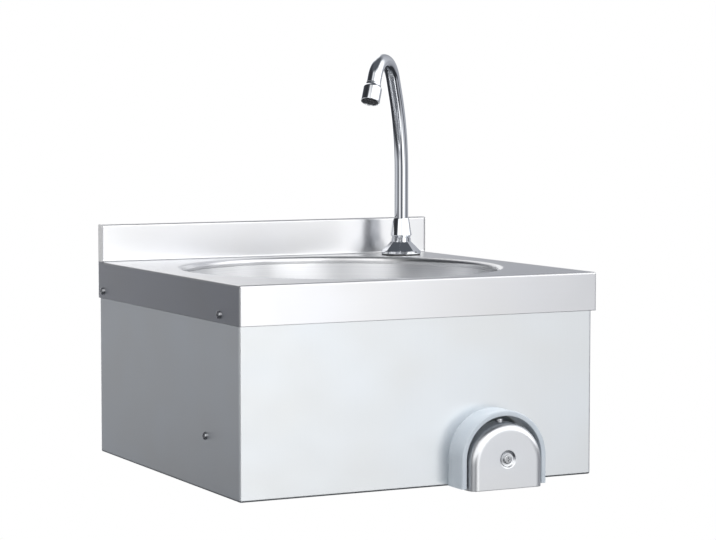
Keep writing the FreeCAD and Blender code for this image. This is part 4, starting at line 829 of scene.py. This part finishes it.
class SINK_OT_nozzle(bpy.types.Operator):
    """Make the nozzle and the screen in its mouth"""
    bl_idname = "sink.nozzle"
    bl_label = "Nozzle"

    def execute(self, context):
        place = nozzle_place()
        sleeve = turned([(9, 7), (9, 0.5), (9.4, 0), (10.1, 0), (10.5, 0.5), (10.5, 15.6), (10.36, 16.5),
                         (9.9, 17.3), (9.2, 18.1), (8.75, 19), (8.65, 20), (8.65, 21.6), (8.35, 22), (8, 22),
                         (8, 8), (7.2, 8), (7.2, 7)])
        piece("nozzle_sleeve", [(sleeve, place)], "chrome", body="spout",
              replaced=["nozzle_housing"])

        bm = bmesh.new()
        rings = context.scene.sink_sizes.screen_rings
        bmesh.ops.create_circle(bm, cap_ends=True, segments=36, radius=SCREEN_RADIUS)
        wide = SCREEN_RADIUS / (rings + 0.6)
        for _ in range(rings):
            middle = [face for face in bm.faces if len(face.verts) > 4]
            bmesh.ops.inset_region(bm, faces=middle, thickness=wide, use_even_offset=True)
        cells = [face for face in bm.faces if len(face.verts) == 4]
        bmesh.ops.inset_individual(bm, faces=cells, thickness=CELL_WALL, depth=0)
        bmesh.ops.recalc_face_normals(bm, faces=bm.faces)
        pits = list({vert for face in cells if face.is_valid for vert in face.verts})
        bmesh.ops.translate(bm, verts=pits, vec=(0, 0, CELL_DEPTH))
        extruded(bm, [edge for edge in bm.edges if edge.is_boundary], (0, 0, SCREEN_DEPTH))
        screen = [(bm, place @ Matrix.Translation((0, 0, SCREEN_SETBACK)))]
        piece("nozzle_screen", screen, "screen", body="spout", replaced=["nozzle_insert"])
        return {"FINISHED"}


class SINK_OT_knee_pad(bpy.types.Operator):
    """Make the pressed pan that the knee pushes"""
    bl_idname = "sink.knee_pad"
    bl_label = "Knee pad"

    def execute(self, context):
        bm = bmesh.new()
        leg = PAD_Z - PAD_LOW
        wall = [(PAD_RADIUS, 0, PAD_REAR)]
        for turn in range(0, 91, 10):
            t = math.radians(turn)
            wall.append((PAD_RADIUS - PAD_BEND * (1 - math.cos(t)), 0,
                         PAD_FRONT - PAD_BEND * (1 - math.sin(t))))
        edges = picked(chain(bm, wall), BMEdge)
        last = bent(bm, edges, (0, 0, 0), Z, 180, 48)
        extruded(bm, edges, (0, -leg, 0))
        extruded(bm, last, (0, -leg, 0))
        tidy(bm)
        front = [v for v in bm.verts if v.co.z > PAD_FRONT - 1e-3]
        feet = sorted((v for v in front if v.co.y < 1e-3 - leg), key=lambda v: v.co.x)
        foot = bm.edges.new(feet)
        bmesh.ops.subdivide_edges(bm, edges=[foot], cuts=15)
        outline = [edge for edge in bm.edges if all(v.co.z > PAD_FRONT - 1e-3 for v in edge.verts)]
        middle = Vector((0, VALVE_Z - PAD_Z, 0))
        dimple = bmesh.ops.create_circle(bm, segments=64, radius=DIMPLE_RADIUS + 0.5)["verts"]
        bmesh.ops.translate(bm, verts=dimple, vec=middle + PAD_FRONT * Z)
        rim = list({edge for vert in dimple for edge in vert.link_edges})
        flat = bmesh.ops.contextual_create(bm, geom=outline)["faces"]
        bmesh.ops.inset_region(bm, faces=flat, thickness=0.8, use_even_offset=True)
        inner = list(flat[0].edges)
        bmesh.ops.delete(bm, geom=flat, context="FACES_ONLY")
        bmesh.ops.bridge_loops(bm, edges=inner + rim)
        for radius, depth in ((DIMPLE_RADIUS, 0.15), (DIMPLE_RADIUS - 0.5, 0.6), (DIMPLE_FLOOR + 0.4, 1.8),
                              (DIMPLE_FLOOR, DIMPLE_DEPTH), (PAD_SCREW_HOLE, DIMPLE_DEPTH)):
            before = rim[0].verts[0].co - middle
            across = math.hypot(before.x, before.y)
            rim = extruded(bm, rim, (0, 0, PAD_FRONT - depth - before.z))
            ring = list({vert for edge in rim for vert in edge.verts})
            bmesh.ops.scale(bm, vec=(radius / across, radius / across, 1), verts=ring,
                            space=Matrix.Translation(-middle))
        tidy(bm)
        if sum(face.normal.z * face.calc_area() for face in bm.faces) < 0:
            bmesh.ops.reverse_faces(bm, faces=bm.faces)
        bmesh.ops.solidify(bm, geom=list(bm.faces), thickness=PAD_SHEET)
        tidy(bm)
        piece("pad_pan", [(bm, along((VALVE_X, CASING_FRONT, PAD_Z), -Y))], "pad", body="knee",
              replaced=["knee_pad"])
        dress("screw", "pad_screw", "pad_top_screw")
        dress("carrier", "pad_carrier")
        return {"FINISHED"}


class SINK_OT_valve(bpy.types.Operator):
    """Make the valve's bonnet, spring and threads, and finish its other parts"""
    bl_idname = "sink.valve"
    bl_label = "Valve"

    def execute(self, context):
        sizes = context.scene.sink_sizes
        nose = turned([(8.05, -27), (12, -27), (12, -12.2), (11, -12.2), (11, -5.8), (10.2, BONNET_FRONT),
                       (5.1, BONNET_FRONT), (5.1, -8), (8.05, -8)])
        piece("bonnet", [(nut(*BONNET_HEXAGON, sizes.nut_edge), VALVE_PLACE), (nose, VALVE_PLACE)], "nickel",
              replaced=["valve_bonnet"])

        # the spring's two end coils lie nearly closed, and its working coils share the rise between them
        spring = bmesh.new()
        low = BONNET_FRONT + SPRING_WIRE
        high = HUB_REAR - SPRING_WIRE
        end_rise = 2 * SPRING_WIRE * 1.04
        rise = high - low - 2 * end_rise
        around = [math.tau * i / WIRE_SIDES for i in range(WIRE_SIDES)]
        for start, coils, climb in ((low, 1, end_rise), (low + end_rise, sizes.spring_coils, rise),
                                    (high - end_rise, 1, end_rise)):
            section = [(SPRING_RADIUS + SPRING_WIRE * math.cos(t), start + SPRING_WIRE * math.sin(t))
                       for t in around]
            wound(spring, section, coils, climb / coils)
        inner = [face for face in spring.faces if len(face.verts) == WIRE_SIDES]
        bmesh.ops.delete(spring, geom=inner, context="FACES_ONLY")
        bmesh.ops.remove_doubles(spring, verts=spring.verts, dist=1e-3)
        ends = [edge for edge in spring.edges if edge.is_boundary]
        bmesh.ops.holes_fill(spring, edges=ends, sides=0)
        bmesh.ops.recalc_face_normals(spring, faces=spring.faces)
        coil = piece("coil_spring", [(spring, VALVE_PLACE)], "spring",
                     replaced=["return_spring"])
        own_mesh(coil)

        threads = []
        for side in (-1, 1):
            thread = screw_thread(THREAD_ROOT, HALF_INCH + sizes.thread_depth, low=0, turns=4,
                                  pitch=sizes.thread_pitch)
            threads.append((thread, along((VALVE_X + side * INLET_X, INLET_Y, INLET_LOW + 1), Z)))
        piece("inlet_threads", threads, "nickel")

        dress("brass", "valve_body")
        dress("nickel", "valve_rod", "inlet_nipple_hot", "inlet_nipple_cold")
        dress("rubber", "bonnet_seal", "rod_o_ring", "seat_washer")
        dress("acetal", "check_valves", "inlet_filters")
        return {"FINISHED"}


class SINK_OT_pipe(bpy.types.Operator):
    """Finish the copper pipe, and make its nuts and its soldered ends"""
    bl_idname = "sink.pipe"
    bl_label = "Outlet pipe"

    def execute(self, context):
        nuts = []
        solder = []
        for place in (along((VALVE_X, CASING_FRONT - STUB_REAR, VALVE_Z), Y),
                      along((TAP_X, TAP_Y, DECK_Z + SHANK_LOW), -Z)):
            cover = turned([(7.35, 2), (10.9, 2), (10.9, 4.6), (7.35, 4.6)])
            nuts += [(nut(*PIPE_NUT, context.scene.sink_sizes.nut_edge), place), (cover, place)]
            fillet = turned([(5.9, 21.6), (7.4, 21.6), (7.2, 22.3), (6.6, 22.9), (6.1, 23.9), (5.9, 24)],
                            segments=32)
            solder.append((fillet, place))
        piece("pipe_nuts_chamfered", nuts, "brass", replaced=["pipe_nuts"])
        piece("solder_fillets", solder, "screw")
        dress("copper", "outlet_pipe")
        dress("brass", "pipe_tails")
        dress("rubber", "pipe_washers")
        return {"FINISHED"}


class SINK_OT_waste(bpy.types.Operator):
    """Make the waste's thread and finish the waste under the bowl"""
    bl_idname = "sink.waste"
    bl_label = "Waste"

    def execute(self, context):
        thread = screw_thread(WASTE_RADIUS - 0.1, WASTE_RADIUS + 0.8, WASTE_THREAD_LOW, turns=3,
                              pitch=WASTE_PITCH, flank=0.4, steps=48)
        piece("waste_thread", [(thread, DRAIN_PLACE)], "white")
        dress("white", "waste_body", "coupling_nut", "tailpiece")
        dress("rubber", "drain_top_seal", "drain_low_seal", "cone_seal")
        dress("screw", "drain_screw")
        return {"FINISHED"}


# ---------------------------------------------------------------- stage

CAMERA_PLACE = (-1095.2, -2399.8, 206.1)
CAMERA_HEADING = 26.816
CAMERA_TILT = -4.124
CAMERA_LENS = 117.38
FLOOR_RADIUS = 2.2

# How light the studio's walls are by bearing from the front, in degrees to the user's right: at eye
# level, with the dark gaps between its panels, then higher up, and down at the floor.
EYE_LEVEL = (
    (-180, 1.80), (-173, 1.60), (-165, 0.26), (-150, 0.12), (-144, 0.15), (-135, 0.75), (-100, 0.55),
    (-81, 0.14), (-79, 0.02), (-71, 0.02), (-68, 0.60), (-55, 1.00), (-42, 0.90), (-31, 0.40), (-21, 0.05),
    (-7, 0.05), (-2, 0.90), (5, 2.10), (23, 1.90), (28, 1.20), (33, 0.50), (42, 0.45), (58, 0.60),
    (63, 0.04), (72, 0.04), (77, 0.50), (100, 0.40), (130, 0.45), (149, 0.50), (157, 1.35))
HIGHER = (
    (-180, 1.30), (-170, 0.40), (-160, 0.06), (-105, 0.03), (-75, 0.05), (-58, 1.90), (-42, 1.60),
    (-22, 1.00), (-6, 2.40), (23, 2.35), (31, 1.50), (37, 1.40), (44, 2.10), (78, 2.00), (100, 0.60),
    (140, 0.36), (150, 0.45), (157, 1.25), (180, 1.30))
AT_FLOOR = (
    (-180, 0.40), (-165, 0.06), (-130, 0.05), (-80, 0.06), (-55, 0.50), (-30, 0.40), (-20, 0.05),
    (-8, 0.10), (5, 1.50), (24, 1.30), (32, 0.60), (58, 0.45), (64, 0.05), (74, 0.05), (82, 0.35),
    (140, 0.30), (180, 0.40))


def wall_light(tree, share, levels):
    """A band of wall whose light follows the bearing; its darker parts are a little blue."""
    ramp = add(tree, "ValToRGB", {"Fac": share})
    stops = ramp.color_ramp.elements
    stops.remove(stops[-1])
    for number, (angle, level) in enumerate(levels):
        stop = stops.new((angle + 180) / 360) if number else stops[0]
        dark = max(0, 1 - level)
        stop.color = (level, level * (1 + 0.05 * dark), level * (1 + 0.2 * dark), 1)
    return ramp.outputs["Color"]


class SINK_OT_stage(bpy.types.Operator):
    """Make the floor, the studio's light and the camera"""
    bl_idname = "sink.stage"
    bl_label = "Stage"

    def execute(self, context):
        studio = context.scene.sink_studio
        self.make_floor(studio)
        self.make_world(context.scene, studio)
        self.make_lamps(studio)
        self.make_camera(context.scene)
        context.scene.view_settings.view_transform = "Standard"
        return {"FINISHED"}

    def make_floor(self, studio):
        bm = bmesh.new()
        bmesh.ops.create_circle(bm, cap_ends=True, segments=96, radius=FLOOR_RADIUS)
        bmesh.ops.translate(bm, verts=bm.verts, vec=(0, 0, DECK_Z * MM - studio.floor_drop))
        mesh = bpy.data.meshes.new("floor")
        bm.to_mesh(mesh)
        bm.free()
        floor = new_object("floor", mesh)
        floor.visible_glossy = False
        # Plain matt studio floor: nearly white, faintly uneven, and clear from below.
        made, tree, shader = new_material("studio_floor", Roughness=0.9)
        tone = add(tree, "Mix", {
            0: mottle(tree, (300, 300, 300)), 6: studio.floor_colour, 7: linear("#f8f8f7")}, data_type="RGBA")
        tree.links.new(tone.outputs[2], shader.inputs["Base Color"])
        below = add(tree, "NewGeometry").outputs["Backfacing"]
        clear = add(tree, "BsdfTransparent").outputs[0]
        both = add(tree, "MixShader", {0: below, 1: shader.outputs[0], 2: clear}).outputs[0]
        tree.links.new(both, tree.nodes["Material Output"].inputs["Surface"])
        mesh.materials.append(made)

    def make_world(self, scene, studio):
        world = bpy.data.worlds.new("studio")
        scene.world = world
        world.use_nodes = True
        tree = world.node_tree
        direction = add(tree, "TexCoord").outputs["Generated"]
        parts = add(tree, "SeparateXYZ", {0: direction}).outputs
        ahead = add(tree, "Math", {0: parts["Y"], 1: -1.0}, operation="MULTIPLY").outputs[0]
        bearing = add(tree, "Math", {0: parts["X"], 1: ahead}, operation="ARCTAN2").outputs[0]
        share = add(tree, "MapRange", {
            "Value": bearing, "From Min": -math.pi, "From Max": math.pi}).outputs[0]
        room = wall_light(tree, share, EYE_LEVEL)
        for low, high, over in (
                (0.02, 0.15, wall_light(tree, share, HIGHER)),
                (-0.13, -0.26, wall_light(tree, share, AT_FLOOR)),
                (0.7, 0.9, linear("#5c6066")),
                (-0.32, -0.5, linear("#34363a")),
                (-0.8, -0.95, linear("#7d8187"))):
            reached = add(tree, "MapRange", {
                "Value": parts["Z"], "From Min": low, "From Max": high}).outputs[0]
            room = add(tree, "Mix", {0: reached, 6: room, 7: over}, data_type="RGBA").outputs[2]
        # matt surfaces get an even light that rises with height, shiny ones the room, and the camera white
        level = add(tree, "MapRange", {
            "Value": parts["Z"], "From Min": -0.4, "From Max": 0.5, "To Min": studio.room_light * 0.35,
            "To Max": studio.room_light * 1.4}).outputs[0]
        ray = add(tree, "LightPath").outputs
        shiny = add(tree, "Math", {0: ray["Is Glossy Ray"], 1: ray["Is Transmission Ray"]},
                    operation="MAXIMUM").outputs[0]
        seen = add(tree, "Mix", {0: shiny, 6: level, 7: room}, data_type="RGBA").outputs[2]
        colour = add(tree, "Mix", {
            0: ray["Is Camera Ray"], 6: seen, 7: (1, 1, 1, 1)}, data_type="RGBA").outputs[2]
        tree.links.new(colour, tree.nodes["Background"].inputs["Color"])

    def make_lamps(self, studio):
        for name, place, size, power in (
                ("overhead_softbox", (-0.3, -0.9, 1.9), 1.5, studio.key_power),
                ("front_fill", (1.2, -2.2, 0.9), 1.2, studio.key_power / 3)):
            data = bpy.data.lights.new(name, "AREA")
            data.size = size
            data.energy = power
            lamp = new_object(name, data)
            lamp.location = place
            lamp.visible_glossy = False
            lamp.rotation_euler = (-Vector(place)).to_track_quat("-Z", "Y").to_euler()

    def make_camera(self, scene):
        data = bpy.data.cameras.new("camera")
        data.lens = CAMERA_LENS
        data.sensor_width = 36
        camera = new_object("camera", data)
        camera.location = Vector(CAMERA_PLACE) * MM
        camera.rotation_euler = (math.radians(90 + CAMERA_TILT), 0, math.radians(-CAMERA_HEADING))
        scene.camera = camera


STEPS = (SINK_OT_sheet_metal, SINK_OT_nuts, SINK_OT_collar, SINK_OT_knee_pad, SINK_OT_valve, SINK_OT_pipe,
         SINK_OT_tap_foot, SINK_OT_spout, SINK_OT_nozzle, SINK_OT_waste, SINK_OT_stage)


class SINK_PT_steps(bpy.types.Panel):
    """Lists the settings and the steps that build the sink"""
    bl_idname = "SINK_PT_steps"
    bl_label = "Hand wash sink"
    bl_space_type = "VIEW_3D"
    bl_region_type = "UI"
    bl_category = "Sink"

    def draw(self, context):
        for settings in (context.scene.sink_sizes, context.scene.sink_studio):
            box = self.layout.box()
            for name in settings.__annotations__:
                box.prop(settings, name)
        for step in STEPS:
            self.layout.operator(step.bl_idname)


CLASSES = (SinkSizes, SinkStudio, *STEPS, SINK_PT_steps)


def register():
    for made in CLASSES:
        bpy.utils.register_class(made)
    bpy.types.Scene.sink_sizes = PointerProperty(type=SinkSizes)
    bpy.types.Scene.sink_studio = PointerProperty(type=SinkStudio)


def unregister():
    del bpy.types.Scene.sink_studio
    del bpy.types.Scene.sink_sizes
    for made in reversed(CLASSES):
        bpy.utils.unregister_class(made)


def main():
    register()
    for step in STEPS:
        getattr(bpy.ops.sink, step.bl_idname.split(".")[1])()


if __name__ == "__main__":
    main()
